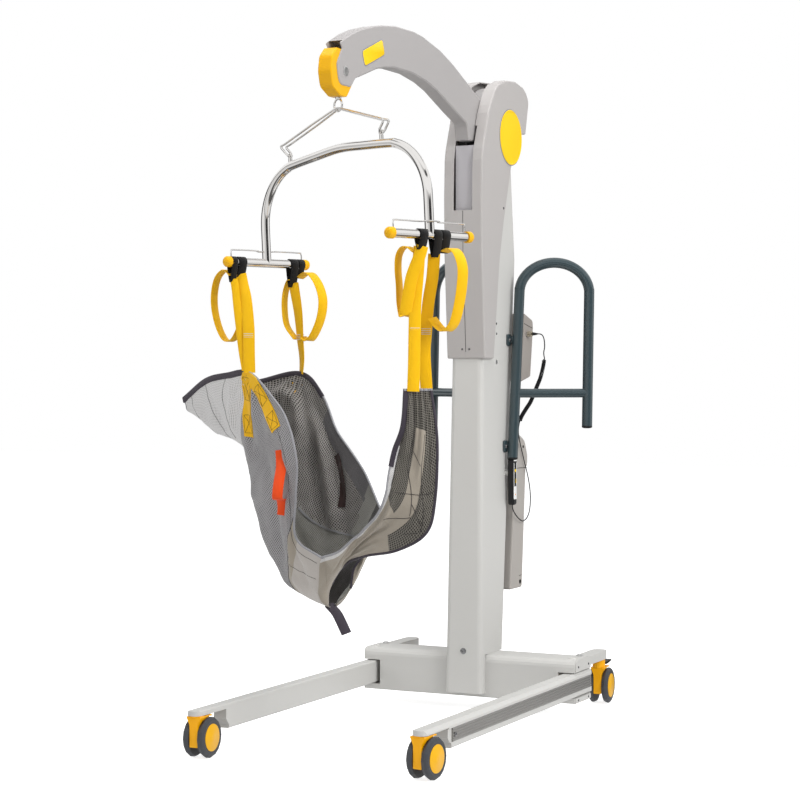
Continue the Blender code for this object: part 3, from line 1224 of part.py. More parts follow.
def build_button(name, radius, front, y, z):
    """A domed key that stands proud of the handset and has room to travel."""
    floor = -BUTTON_DEPTH + GAP + BUTTON_TRAVEL
    profile = [(0, BUTTON_PROUD), (radius * 0.6, BUTTON_PROUD * 0.85), (radius, BUTTON_PROUD * 0.35),
               (radius, floor), (0, floor)]
    add_body(name, "base", (front, y, z))
    key = turned(profile, (front, y, z), (1, 0, 0), 12)
    settle(key, name, "black", name)


def build_cord():
    """The plug in the control box, the lead, the curls and the tail to the handset."""
    y, z = SOCKET_PLACE
    start = CONTROL_HALF - 0.008 + GAP
    lead_start = CORD_LEAD[0][0]
    tip = lead_start - GAP
    collar = CONTROL_HALF + 0.0035
    plug = turned(((0, tip), (CORD_RADIUS + 0.0004, tip), (0.0042, tip - 0.0097), (0.0046, tip - 0.0157),
                   (0.0078, tip - 0.0167), (0.0078, collar), (0.0058, collar - 0.0002),
                   (0.0058, start), (0, start)), (0, y, z), (1, 0, 0), 16)
    settle(plug, "cord_plug", "black")
    curls, least = curly_path()
    settle(tube(curls, CURL_WIRE, CORD_SIDES), "cord_curls", "black")
    for name, route in (("cord_lead", CORD_LEAD), ("cord_tail", CORD_TAIL)):
        path = evenly(smooth_path(route, 8), CORD_STEP)
        joined = -1 if name == "cord_lead" else 0
        path[joined] = path[joined].lerp(path[-2 if joined else 1], 4 * GAP / CORD_STEP)
        settle(tube(path, CORD_RADIUS, CORD_SIDES), name, "black")
    print(f"curls: least gap between turns {1000 * least:.2f} mm")


def curly_path():
    """The curly stretch: a helix round a smooth centre line, straight for a little at its ends."""
    centre = smooth_path(CORD_CURLY, 24)
    count = CURL_TURNS * CURL_POINTS
    centre = evenly(centre, 0.0005)
    path = [centre[0], centre[6]]
    first = 7
    last = len(centre) - 8
    for step in range(count + 1):
        position = first + (last - first) * step / count
        index = min(int(position), len(centre) - 2)
        place = centre[index].lerp(centre[index + 1], position - index)
        tangent = (centre[index + 1] - centre[index]).normalized()
        side = tangent.cross(Vector((0, 1, 0))).normalized()
        other = tangent.cross(side)
        ramp = min(1.0, min(step, count - step) / CURL_POINTS)
        angle = 2 * pi * step / CURL_POINTS
        path.append(place + CURL_RADIUS * ramp * (cos(angle) * side + sin(angle) * other))
    path += [centre[-7], centre[-1]]
    least = 1.0
    for index, point in enumerate(path):
        for other_point in path[index + CURL_POINTS // 2 + 1:index + 3 * CURL_POINTS]:
            least = min(least, (other_point - point).length - 2 * CURL_WIRE)
    return path, least


def station_curve(stations, steps):
    return smooth_path([Vector(station) for station in stations], steps)


def build_sling_body():
    """The sling: a hooded back and seat that splits into two thigh flaps, with its main folds."""
    half = SLING_ACROSS_STEPS // 2
    keel, near, far = [station_curve(line, SLING_STEPS_PER_STATION)
                       for line in (SLING_KEEL, SLING_NEAR_RIM, SLING_FAR_RIM)]
    rows = []
    for low, near_edge, far_edge in zip(keel, near, far):
        row = [trough_point(low, near_edge, 1 - column / half) for column in range(half)]
        row += [trough_point(low, far_edge, column / half) for column in range(half + 1)]
        rows.append(row)
    edit = bmesh.new()
    grid = [[edit.verts.new(sling_point(*point)) for point in row] for row in rows]
    skin(edit, grid)
    near_root = grid[-1][:half]
    far_root = list(reversed(grid[-1][half + 1:]))
    for flap, root in ((NEAR_FLAP, near_root), (FAR_FLAP, far_root)):
        inner, outer = [station_curve(line, SLING_STEPS_PER_STATION) for line in zip(*flap)]
        flap_grid = [root]
        for low, edge in list(zip(inner, outer))[1:]:
            places = [edge.lerp(low, column / (half - 1)) for column in range(half)]
            flap_grid.append([edit.verts.new(sling_point(*place)) for place in places])
        skin(edit, flap_grid)
    bmesh.ops.recalc_face_normals(edit, faces=edit.faces)
    mesh = bpy.data.meshes.new("sling")
    edit.to_mesh(mesh)
    edit.free()
    sling = link("sling", mesh)
    thick = sling.modifiers.new("cloth_thickness", "SOLIDIFY")
    thick.thickness = SLING_THICKNESS
    thick.offset = 0
    settle(bake(sling), "sling_body", "cloth", "spreader", 80)


def skin(edit, grid):
    """Faces between the neighbouring rows of a grid of vertices."""
    for first, second in zip(grid, grid[1:]):
        for column in range(len(first) - 1):
            edit.faces.new((first[column], first[column + 1], second[column + 1], second[column]))


def trough_point(low, edge, share):
    """A point of the sling's cross section, from its keel at share 0 up to one rim at share 1."""
    outward = sin(share * pi / 2)
    climb = 1 - cos(share * pi / 2) ** TROUGH_FULLNESS if share < 1 else 1.0
    fold = SLING_FOLD * sin(3.5 * pi * share) * (1 - share)
    return (low.x + (edge.x - low.x) * outward, low.y + (edge.y - low.y) * climb + fold,
            low.z + (edge.z - low.z) * climb)


def strap_outline(bar, foot):
    """A strap's side view in the plane across the bars: a loop on the bar and one run to its foot."""
    inner = TUBE_RADIUS + GAP
    outer = inner + STRAP_THICKNESS
    half = STRAP_THICKNESS / 2
    bar = Vector(bar)
    foot = Vector(foot)
    down = (foot - bar).normalized()
    side = Vector((-down.y, down.x))
    merge = bar + down * STRAP_MERGE_DROP
    heading = atan2(down.y, down.x)
    spread_angle = radians(76)
    loop = arc_points(bar, outer, heading + spread_angle, heading + 2 * pi - spread_angle, 14)
    outline = loop + [tuple(merge - side * STRAP_THICKNESS), tuple(foot - side * half),
                      tuple(foot + side * half), tuple(merge + side * STRAP_THICKNESS)]
    hole = arc_points(bar, inner, heading + spread_angle, heading + 2 * pi - spread_angle, 14)
    crotch = bar + down * STRAP_LOOP_DROP
    hole += [tuple(crotch - side * GAP), tuple(crotch + side * GAP)]
    return outline, hole


def build_sling_straps():
    """The four straps, each looped over a bar and sewn to the sling."""
    thigh_feet = [(Vector(flap[-1][0]) + Vector(flap[-1][1])) / 2 for flap in (NEAR_FLAP, FAR_FLAP)]
    straps = (
        ("shoulder_left", -1, SHOULDER_OFFSETS[0], SLING_NEAR_RIM[SHOULDER_STATION]),
        ("shoulder_right", -1, SHOULDER_OFFSETS[1], SLING_FAR_RIM[SHOULDER_STATION]),
        ("thigh_left", 1, THIGH_OFFSETS[0], thigh_feet[0]),
        ("thigh_right", 1, THIGH_OFFSETS[1], thigh_feet[1]),
    )
    about = Matrix(((cos(SPREADER_HEADING), sin(SPREADER_HEADING), 0, 0),
                    (-sin(SPREADER_HEADING), cos(SPREADER_HEADING), 0, NOSE_PIVOT[0]),
                    (0, 0, 1, 0), (0, 0, 0, 1)))
    for name, side, offset, foot in straps:
        bar = spreader_point(0, side * BAR_ACROSS, BAR_DROP) - sling_point(0, 0, 0)
        across = bar.x * cos(SPREADER_HEADING) - bar.y * sin(SPREADER_HEADING)
        outline, hole = strap_outline((across, bar.z), (foot[1], foot[2] + 3 * GAP))
        strap = slab([outline, hole], "XZ", -STRAP_WIDTH / 2, STRAP_WIDTH / 2)
        lean = (foot[0] - offset) / (bar.z - foot[2])
        for vertex in strap.data.vertices:
            vertex.co.y += offset + lean * max(0.0, bar.z - vertex.co.z)
        strap.data.transform(about)
        settle(strap, "sling_strap_" + name, "webbing", "spreader")


def place_bodies():
    """The empties on the joints that the pieces hang on, parents first."""
    add_body("base", None, (0, 0, 0))
    add_body("leg_left", "base", (-LEG_PIVOT_X, LEG_PIVOT_Y, LEG_BOTTOM))
    add_body("leg_right", "base", (LEG_PIVOT_X, LEG_PIVOT_Y, LEG_BOTTOM))
    add_body("boom", "base", (0, *BOOM_PIVOT))
    add_body("nose", "boom", (0, *NOSE_PIVOT))
    add_body("spreader", "nose", (0, NOSE_PIVOT[0], NOSE_BOTTOM))
    add_body("actuator", "base", (0, *ACTUATOR_BASE))
    add_body("actuator_rod", "actuator", (0, *ACTUATOR_BASE))
    add_body("battery", "base", (0, mast_rear(BATTERY_LOW), BATTERY_LOW))
    add_body("shutter", "base", (0, SHUTTER_FRONT, SHUTTER_LOW))


def print_bounds():
    """The whole part's box, and the box without its cord."""
    bpy.context.view_layer.update()
    cord = ("cord_plug", "cord_lead", "cord_curls", "cord_tail")
    for label, skip in (("whole part", ()), ("without cord", cord)):
        corners = []
        for piece in PARTS.objects:
            if piece.type != "MESH" or piece.name in skip:
                continue
            corners += [piece.matrix_world @ vertex.co for vertex in piece.data.vertices]
        low = [min(corner[axis] for corner in corners) for axis in range(3)]
        high = [max(corner[axis] for corner in corners) for axis in range(3)]
        print(label, [round(value, 4) for value in low], [round(value, 4) for value in high])


clear_scene()
place_bodies()
build_cross_beam()
build_leg_pivots()
build_end_plates()
build_legs()
build_casters()
build_mast()
build_covers()
build_pivot_shaft()
build_shutter()
build_boom()
build_nose()
build_swivel_eye()
build_spreader_frame()
build_links()
build_bar_caps()
build_strap_keepers()
build_actuator()
build_control_box()
build_battery()
build_handles()
build_handset()
build_cord()
build_sling_body()
build_sling_straps()
print_bounds()
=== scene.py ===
"""The patient lift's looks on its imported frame: camera, studio, cord, materials, sling and small details.

Places are written in the part's working frame, whose origin is the middle of the cross beam's
front face; place() turns them into the row frame. Metres throughout.
"""
from math import atan2, cos, exp, pi, radians, sin, sqrt

import bmesh
import bpy
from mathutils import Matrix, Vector, noise


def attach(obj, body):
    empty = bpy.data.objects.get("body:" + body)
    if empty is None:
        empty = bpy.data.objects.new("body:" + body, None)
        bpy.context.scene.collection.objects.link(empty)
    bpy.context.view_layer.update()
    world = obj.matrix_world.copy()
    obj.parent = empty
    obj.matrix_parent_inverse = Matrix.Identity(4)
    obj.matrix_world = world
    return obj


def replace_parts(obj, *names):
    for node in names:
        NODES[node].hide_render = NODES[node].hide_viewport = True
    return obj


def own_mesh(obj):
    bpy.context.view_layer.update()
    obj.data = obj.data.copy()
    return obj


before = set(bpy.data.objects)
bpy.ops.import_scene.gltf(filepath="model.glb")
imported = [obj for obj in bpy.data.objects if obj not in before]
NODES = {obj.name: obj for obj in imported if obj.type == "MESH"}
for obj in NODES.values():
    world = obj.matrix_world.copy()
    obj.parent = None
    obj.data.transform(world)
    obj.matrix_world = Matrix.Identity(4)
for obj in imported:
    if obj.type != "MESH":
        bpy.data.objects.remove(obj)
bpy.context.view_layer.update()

WHITE = (1.0, 1.0, 1.0, 1.0)
SIDES = ((-1, "left"), (1, "right"))
UP = (0, 0, 1)
ORIGIN = Vector((0.0867, 0.334, 0.0))
CLEARANCE = 0.0003

# Camera, in the working frame
CAMERA_PLACE = (2.242, -5.0143, 0.9319)
CAMERA_PITCH = 89.1534
CAMERA_TURN = 26.0096
CAMERA_LENS = 90.2
SOFT_LIGHT = 0.56
FLOOR_REACH = 14.0
FLOOR_DROP = 0.0005
FLOOR_GREY = 0.72
FLOOR_GLOW = 0.8

# Lamps: name, place, aim, size and power
LAMPS = (("key_light", (5.0, -1.6, 3.2), (0.1, 0.0, 0.9), 2.4, 190),
         ("fill_light", (-4.4, -3.2, 2.4), (0.0, 0.0, 0.9), 2.0, 42),
         ("top_light", (0.2, -0.4, 4.4), (0.0, 0.0, 0.8), 2.6, 95))

# Brightness that gloss mirrors, round the studio and from its floor to its ceiling
STUDIO_ROUND = ((0.0, 0.1), (0.035, 0.14), (0.065, 0.95), (0.2, 0.95), (0.27, 0.6), (0.33, 0.75),
    (0.345, 0.025), (0.5, 0.025), (0.53, 0.95), (0.64, 0.95), (0.67, 0.2), (0.75, 0.07), (0.95, 0.08),
    (1.0, 0.1))
STUDIO_UP = ((0.0, 0.3), (0.5, 0.0), (0.6, 0.0), (0.63, 1.0), (0.81, 1.0), (0.83, 0.1), (0.88, 0.1),
    (0.9, 1.0), (1.0, 1.0))
FLOOR_MIRRORED = ((0.0, 1.0), (0.05, 1.0), (0.08, 0.12), (0.14, 0.1), (0.18, 0.8), (0.45, 0.8), (1.0, 0.15))

# Cord from the control box to the handset; the routes are the part's own
CORD_RADIUS = 0.00155
CURL_RADIUS = 0.0045
CURL_TURNS = 60
CURL_POINTS = 16
CORD_LEAD = ((0.108, 0.246, 1.035), (0.1115, 0.246, 1.035), (0.116, 0.25, 1.034), (0.1195, 0.257, 1.029),
    (0.12, 0.266, 1.016), (0.119, 0.271, 0.998), (0.1165, 0.271, 0.984), (0.115, 0.276, 0.974),
    (0.1145, 0.2812, 0.967))
CORD_CURLY = ((0.1145, 0.2812, 0.967), (0.11, 0.281, 0.94), (0.105, 0.274, 0.911), (0.099, 0.26, 0.884),
    (0.09, 0.24, 0.845), (0.082, 0.223, 0.823), (0.075, 0.207, 0.802), (0.0715, 0.2, 0.785))
CORD_TAIL = ((0.0715, 0.2, 0.785), (0.068, 0.202, 0.768), (0.0645, 0.212, 0.748), (0.063, 0.228, 0.722),
    (0.0625, 0.246, 0.694), (0.0625, 0.263, 0.665), (0.064, 0.278, 0.636), (0.0655, 0.29, 0.602),
    (0.066, 0.2955, 0.568), (0.066, 0.29, 0.535), (0.066, 0.274, 0.5155), (0.0663, 0.2526, 0.507),
    (0.0665, 0.231, 0.506), (0.0668, 0.1975, 0.519), (0.067, 0.1727, 0.535), (0.0675, 0.16, 0.547),
    (0.068, 0.157, 0.5557))

# Spreader and sling, as the part has them
NOSE_Y = -0.757
HEADING = radians(22)
TILT = radians(3.9)
RING_Z = 1.567
BAR_ACROSS = 0.3
BAR_DROP = 0.348
BAR_HALF = 0.1235
BAR_RADIUS = 0.011
BEND_RADIUS = 0.14
LEG_STRAIGHT_DROP = 0.257
CROWN_DROP = 0.104
CAP_RADIUS = 0.0135
CAP_LENGTH = 0.01
RING_RADIUS = 0.0145
RING_WIRE = 0.0025
LINK_WIRE = 0.003
LINK_SPACING = 0.0085
LEFT_LUG_ACROSS = -0.19
RIGHT_LUG_ACROSS = 0.15
LUG_HEIGHT = 0.026
KEEPER_WIRE = 0.0018
KEEPER_RISE = 0.03
NOSE_BOTTOM = 1.586
SLING_KEEL = ((-0.02, -0.553, 0.819), (-0.02, -0.462, 0.774), (-0.03, -0.365, 0.756), (-0.04, -0.306, 0.728),
    (-0.04, -0.282, 0.664), (-0.035, -0.252, 0.58), (-0.03, -0.215, 0.5), (-0.02, -0.164, 0.434),
    (-0.01, -0.099, 0.382), (0.0, -0.028, 0.361))
SLING_NEAR_RIM = ((-0.06, -0.546, 0.861), (-0.075, -0.43, 0.91), (-0.085, -0.325, 0.925),
    (-0.094, -0.224, 0.928), (-0.104, -0.124, 0.87), (-0.112, -0.057, 0.814), (-0.118, -0.012, 0.72),
    (-0.118, -0.016, 0.625), (-0.108, -0.028, 0.534), (-0.09, 0.047, 0.492))
SLING_FAR_RIM = ((0.02, -0.56, 0.856), (0.05, -0.486, 0.887), (0.075, -0.386, 0.91), (0.09, -0.252, 0.928),
    (0.098, -0.179, 0.875), (0.104, -0.132, 0.789), (0.106, -0.081, 0.738), (0.104, -0.026, 0.688),
    (0.095, 0.032, 0.618), (0.075, 0.088, 0.579))
NEAR_FLAP = (((-0.012, -0.028, 0.361), (-0.09, 0.047, 0.492)), ((-0.02, 0.0, 0.42), (-0.088, 0.117, 0.516)),
    ((-0.03, 0.056, 0.468), (-0.088, 0.181, 0.557)), ((-0.04, 0.14, 0.496), (-0.088, 0.241, 0.602)),
    ((-0.035, 0.253, 0.517), (-0.086, 0.266, 0.649)), ((-0.022, 0.337, 0.561), (-0.084, 0.274, 0.694)),
    ((-0.012, 0.356, 0.638), (-0.078, 0.284, 0.751)), ((-0.008, 0.359, 0.774), (-0.072, 0.305, 0.808)),
    ((-0.004, 0.334, 0.89), (-0.064, 0.306, 0.89)))
FAR_FLAP = (((0.012, -0.028, 0.361), (0.075, 0.088, 0.579)), ((0.02, 0.019, 0.407), (0.078, 0.099, 0.61)),
    ((0.03, 0.023, 0.457), (0.08, 0.111, 0.634)), ((0.03, 0.081, 0.506), (0.08, 0.125, 0.657)),
    ((0.025, 0.165, 0.552), (0.078, 0.142, 0.681)), ((0.018, 0.236, 0.603), (0.075, 0.163, 0.71)),
    ((0.012, 0.277, 0.68), (0.07, 0.189, 0.745)), ((0.008, 0.295, 0.795), (0.064, 0.227, 0.804)),
    ((0.004, 0.292, 0.885), (0.056, 0.266, 0.884)))
BOOM_SIDE = 0.0205
COVER_SIDE = 0.057
PIVOT = (0.169, 1.583)
NOSE_PIVOT = (-0.757, 1.647)
MAST_FOOT = 0.05
MAST_FRONT_FOOT = -0.0284
MAST_FRONT_SLOPE = 0.0266
MAST_REAR_FOOT = 0.115
MAST_REAR_SLOPE = 0.1056
MAST_HALF_FOOT = 0.055
MAST_HALF_SLOPE = 0.01
MAST_BOLT_Z = 0.165
BRACKET_THICKNESS = 0.006
HANDLE_X = 0.07
HANDLE_RADIUS = 0.0145
HANDLE_TOP = 1.235
HANDLE_GRIP_Z = 0.868
GRIP_RADIUS = 0.0125
CLAMP_RADIUS = 0.011
HANDLE_OUTER_X = 0.24
HANDLE_OUTER_LOW = 0.775
HANDLE_INNER_LOW = 0.688
HANDLE_SETBACK = 0.028
HANDLE_CLAMPS = (1.017, 0.72)
END_PLATE_FACE = 0.3178
HANDSET_FRONT = 0.077
HANDSET_Y = 0.157
FRONT_SWIVEL = (0.297, -0.922)
REAR_SWIVEL = (0.29, 0.253)
CASTER_HEADINGS = {"front_left": 1, "front_right": -5, "rear_left": 1, "rear_right": 5}
WHEEL_RADIUS = 0.05
WHEEL_TRAIL = 0.026
WHEEL_OUTER = 0.029
SLING_STEPS = 12
SLING_COLUMNS = 72
CLOTH_THICKNESS = 0.0022


def place(x, y, z):
    """A working-frame place in the row frame."""
    return Vector((x, y, z)) + ORIGIN


def smooth_path(points, per_span):
    """A Catmull-Rom curve through points, with per_span steps between each two."""
    points = [Vector(point) for point in points]
    padded = [2 * points[0] - points[1]] + points + [2 * points[-1] - points[-2]]
    path = []
    for a, b, c, d in zip(padded, padded[1:], padded[2:], padded[3:]):
        for step in range(per_span):
            t = step / per_span
            path.append(0.5 * (2 * b + (c - a) * t + (2 * a - 5 * b + 4 * c - d) * t ** 2
                               + (3 * b - a - 3 * c + d) * t ** 3))
    return path + [points[-1]]


def evenly(path, spacing):
    """The same path with its points an even distance apart."""
    lengths = [0.0]
    for before, after in zip(path, path[1:]):
        lengths.append(lengths[-1] + (after - before).length)
    count = max(1, round(lengths[-1] / spacing))
    result = []
    index = 0
    for step in range(count + 1):
        wanted = lengths[-1] * step / count
        while index < len(path) - 2 and lengths[index + 1] < wanted:
            index += 1
        share = (wanted - lengths[index]) / (lengths[index + 1] - lengths[index])
        result.append(path[index].lerp(path[index + 1], min(1.0, share)))
    return result


def put(name, data):
    """A new object in the scene."""
    piece = bpy.data.objects.new(name, data)
    bpy.context.scene.collection.objects.link(piece)
    return piece


class Tree:
    """A node tree, with short calls for the nodes that several finishes share."""

    def __init__(self, owner):
        owner.use_nodes = True
        self.tree = owner.node_tree

    def add(self, kind, **values):
        """A new node; an underscore stands for a space in the name of a socket that gets a value."""
        node = self.tree.nodes.new("ShaderNode" + kind)
        self.fill(node, values)
        return node

    def fill(self, node, values):
        for name, value in values.items():
            node.inputs[name.replace("_", " ")].default_value = value

    def link(self, output, socket):
        self.tree.links.new(output, socket)

    def feed(self, node, sources):
        """Plain numbers or other nodes' outputs into a node's sockets, in their order."""
        for socket, source in zip(node.inputs, sources):
            if isinstance(source, (int, float)):
                socket.default_value = source
            else:
                self.link(source, socket)
        return node.outputs[0]

    def math(self, operation, *sources):
        node = self.add("Math")
        node.operation = operation
        return self.feed(node, sources)

    def axes(self, source):
        """The X, Y and Z outputs of a set of coordinates."""
        split = self.add("SeparateXYZ")
        self.link(self.add("TexCoord").outputs[source], split.inputs[0])
        return split.outputs

    def ramp(self, value, stops):
        """A grey colour ramp from (position, brightness) pairs."""
        node = self.add("ValToRGB")
        elements = node.color_ramp.elements
        for element, (position, brightness) in zip(elements, (stops[0], stops[-1])):
            element.position = position
            element.color = (brightness, brightness, brightness, 1)
        for position, brightness in stops[1:-1]:
            elements.new(position).color = (brightness, brightness, brightness, 1)
        return self.feed(node, [value])


# Camera and studio
def add_camera():
    """The photograph's camera."""
    data = bpy.data.cameras.new("photo_camera")
    data.lens = CAMERA_LENS
    data.sensor_width = 36
    data.clip_end = 60
    camera = put("photo_camera", data)
    camera.location = place(*CAMERA_PLACE)
    camera.rotation_euler = (radians(CAMERA_PITCH), 0, radians(CAMERA_TURN))
    bpy.context.scene.camera = camera


def add_area_light(name, where, aim, size, power):
    """A soft square lamp that points at a place; gloss mirrors the studio instead of it."""
    data = bpy.data.lights.new(name, "AREA")
    data.shape = "SQUARE"
    data.size = size
    data.energy = power
    lamp = put(name, data)
    lamp.visible_glossy = False
    lamp.location = where
    lamp.rotation_euler = (Vector(aim) - Vector(where)).to_track_quat("-Z", "Y").to_euler()


def add_world():
    """White for the camera, even soft light for surfaces, and light and dark areas for gloss to mirror."""
    bpy.context.scene.view_settings.view_transform = "Standard"
    world = bpy.data.worlds.new("studio")
    bpy.context.scene.world = world
    tree = Tree(world)
    tree.tree.nodes.clear()
    rays = tree.add("LightPath").outputs
    axes = tree.axes("Generated")
    turn = tree.math("ARCTAN2", axes["Y"], axes["X"])
    round_tone = tree.ramp(tree.math("MULTIPLY_ADD", turn, 0.5 / pi, 0.5), STUDIO_ROUND)
    height_tone = tree.ramp(tree.math("MULTIPLY_ADD", axes["Z"], 0.5, 0.5), STUDIO_UP)
    mirrored = tree.add("Background", Strength=1.0)
    tree.link(tree.math("MAXIMUM", round_tone, height_tone), mirrored.inputs["Color"])
    soft = tree.add("Background", Color=WHITE, Strength=SOFT_LIGHT)
    white = tree.add("Background", Color=WHITE, Strength=1.0)
    gloss = tree.feed(tree.add("MixShader"), [rays["Is Glossy Ray"], soft.outputs[0], mirrored.outputs[0]])
    seen = tree.feed(tree.add("MixShader"), [rays["Is Camera Ray"], gloss, white.outputs[0]])
    tree.link(seen, tree.add("OutputWorld").inputs["Surface"])


def add_floor():
    """A wide plain floor: white to the camera, a pale grey that bounces light to everything else."""
    mesh = bpy.data.meshes.new("studio_floor")
    corners = [(FLOOR_REACH * x, FLOOR_REACH * y, 0) for x, y in ((-1, -1), (1, -1), (1, 1), (-1, 1))]
    mesh.from_pydata(corners, [], [(0, 1, 2, 3)])
    floor = put("studio_floor", mesh)
    floor.location.z = -FLOOR_DROP
    material = bpy.data.materials.new("studio_floor")
    tree = Tree(material)
    tree.tree.nodes.clear()
    rays = tree.add("LightPath").outputs
    matt = tree.add("BsdfDiffuse", Color=(FLOOR_GREY, FLOOR_GREY, FLOOR_GREY, 1)).outputs[0]
    glow = tree.add("Emission", Color=WHITE, Strength=FLOOR_GLOW).outputs[0]
    bright = tree.feed(tree.add("AddShader"), [matt, glow])
    distance = tree.add("VectorMath")
    distance.operation = "LENGTH"
    tree.link(tree.add("TexCoord").outputs["Object"], distance.inputs[0])
    share = tree.math("DIVIDE", distance.outputs["Value"], FLOOR_REACH)
    mirrored = tree.feed(tree.add("Emission"), [tree.ramp(share, FLOOR_MIRRORED)])
    seen = tree.feed(tree.add("MixShader"), [rays["Is Camera Ray"], matt, bright])
    total = tree.feed(tree.add("MixShader"), [rays["Is Glossy Ray"], seen, mirrored])
    tree.link(total, tree.add("OutputMaterial").inputs["Surface"])
    mesh.materials.append(material)


def add_lights():
    for lamp in LAMPS:
        add_area_light(*lamp)


# Materials
class Nodes(Tree):
    """A material's node tree, built up from noises, waves, tints and bumps."""

    def __init__(self, name, colour, roughness, metallic=0.0, **values):
        self.material = bpy.data.materials.new(name)
        super().__init__(self.material)
        self.shader = self.tree.nodes["Principled BSDF"]
        self.colour = colour
        self.fill(self.shader,
                  {"Base Color": (*colour, 1), "Roughness": roughness, "Metallic": metallic, **values})
        self.height = None

    def noise(self, scale, detail=3.0, source="Object", stretch=None):
        """A noise value over the object's own space or its map."""
        texture = self.add("TexNoise", Scale=scale, Detail=detail)
        vector = self.add("TexCoord").outputs[source]
        if stretch:
            mapping = self.add("Mapping", Scale=stretch)
            self.link(vector, mapping.inputs["Vector"])
            vector = mapping.outputs[0]
        self.link(vector, texture.inputs["Vector"])
        return texture.outputs[0]

    def wave(self, value, pitch, wobble=0.0):
        """A sine wave along a value, which a second value may push to and fro."""
        steady = self.math("MULTIPLY", value, 2 * pi / pitch)
        return self.math("SINE", self.math("MULTIPLY_ADD", wobble, 0.9, steady))

    def spread(self, value, low, high):
        """A value from 0 to 1 stretched between two levels."""
        node = self.add("MapRange", To_Min=low, To_Max=high)
        return self.feed(node, [value])

    def steps(self, value, threshold, softness):
        """0 below a threshold and 1 above it, with a soft step between."""
        node = self.add("MapRange", From_Min=threshold - softness, From_Max=threshold + softness)
        return self.feed(node, [value])

    def tint(self, factor, other):
        """Mix another colour, or a share of the base colour, into the base colour where factor is high."""
        if isinstance(other, float):
            other = [other * value for value in self.colour]
        mix = self.add("Mix")
        mix.data_type = "RGBA"
        socket = self.shader.inputs["Base Color"]
        if socket.links:
            self.link(socket.links[0].from_socket, mix.inputs[6])
        else:
            mix.inputs[6].default_value = (*self.colour, 1)
        mix.inputs[7].default_value = (*other, 1)
        self.link(factor, mix.inputs[0])
        self.link(mix.outputs[2], socket)

    def rough(self, value, low, high):
        self.link(self.spread(value, low, high), self.shader.inputs["Roughness"])

    def bump(self, height, distance, strength=1.0):
        """Stack one more bump on the surface."""
        node = self.add("Bump", Distance=distance, Strength=strength)
        self.link(height, node.inputs["Height"])
        if self.height is not None:
            self.link(self.height, node.inputs["Normal"])
        self.height = node.outputs[0]
        self.link(self.height, self.shader.inputs["Normal"])


def painted(name, colour, roughness):
    """Powder coat: a fine orange-peel skin, slightly uneven gloss and tone."""
    nodes = Nodes(name, colour, roughness, Specular_IOR_Level=0.42)
    nodes.bump(nodes.noise(420.0, 2.0), 0.00018, 0.55)
    patches = nodes.noise(5.0)
    nodes.rough(patches, roughness - 0.05, roughness + 0.07)
    nodes.tint(nodes.spread(patches, 0.0, 0.16), 0.9)
    return nodes.material


def moulded(name, colour, roughness, darker=0.86):
    """Moulded plastic: a fine sparked grain and faint handling marks."""
    nodes = Nodes(name, colour, roughness, Specular_IOR_Level=0.35)
    nodes.bump(nodes.noise(900.0, 1.5), 0.0001, 0.6)
    marks = nodes.noise(9.0, 5.0)
    nodes.rough(marks, roughness - 0.06, roughness + 0.08)
    nodes.tint(nodes.spread(marks, 0.0, 0.22), darker)
    return nodes.material


def polished(name, colour, roughness):
    """Bright metal, with faint polishing streaks."""
    nodes = Nodes(name, colour, roughness, 1.0)
    lines = nodes.noise(60.0)
    nodes.rough(lines, max(0.02, roughness - 0.04), roughness + 0.07)
    nodes.bump(lines, 0.00004, 0.35)
    nodes.tint(nodes.spread(lines, 0.0, 0.2), 0.82)
    return nodes.material


def glossy_tube_paint():
    """Blue-grey gloss lacquer over tube, with soft orange peel below a clear coat."""
    nodes = Nodes("blue_grey_gloss", (0.026, 0.045, 0.053), 0.3, Coat_Weight=0.5, Coat_Roughness=0.06)
    nodes.bump(nodes.noise(160.0, 2.0), 0.0001, 0.3)
    nodes.tint(nodes.spread(nodes.noise(8.0), 0.0, 0.3), (0.04, 0.064, 0.074))
    return nodes.material


def rubber():
    """Grey tyre rubber with dull scuffs."""
    nodes = Nodes("grey_tyre", (0.04, 0.043, 0.05), 0.55)
    scuffs = nodes.noise(70.0, 4.0)
    nodes.rough(scuffs, 0.42, 0.72)
    nodes.bump(scuffs, 0.00025, 0.5)
    nodes.tint(nodes.spread(scuffs, 0.0, 0.5), (0.07, 0.072, 0.078))
    return nodes.material


def plug_finish(split_x):
    """The cord's plug: nickel shell up to a place along X, then the black boot."""
    nodes = Nodes("cord_plug_finish", BLACK, 0.5)
    along = nodes.axes("Object")["X"]
    metal = nodes.math("LESS_THAN", along, split_x)
    nodes.tint(metal, (0.62, 0.56, 0.44))
    nodes.link(metal, nodes.shader.inputs["Metallic"])
    nodes.rough(metal, 0.5, 0.22)
    nodes.bump(nodes.wave(along, 0.0016), 0.00015, 0.6)
    return nodes.material


def woven(name, colour, dark, pitch, hole, sheen=0.3, patches=0.25):
    """Spacer net: a grid of small holes between raised threads, by the cloth's own map; soft clouds raise it
    and darken it in blotches, painted shade for its folds.
    """
    nodes = Nodes(name, colour, 0.92, Sheen_Weight=sheen, Sheen_Roughness=0.5, Specular_IOR_Level=0.15)
    axes = nodes.axes("UV")
    wobble = nodes.noise(90.0, 2.0, "UV")
    across = nodes.wave(axes["X"], pitch, wobble)
    along = nodes.wave(axes["Y"], pitch, wobble)
    holes = nodes.steps(nodes.math("ABSOLUTE", nodes.math("MULTIPLY", across, along)), hole, 0.22)
    nodes.tint(nodes.math("MULTIPLY", holes, 0.95), dark)
    cloud_relief_and_shade = nodes.noise(10.0, 4.0, "UV")
    # The clouds darken the net in blotches, up to the share in patches: painted shade standing in for the
    # shade of folds.
    nodes.tint(nodes.spread(cloud_relief_and_shade, 0.0, patches), dark)
    nodes.bump(nodes.math("SUBTRACT", 1.0, holes), 0.0006, 0.8)
    nodes.bump(cloud_relief_and_shade, 0.0015, 0.25)
    return nodes.material


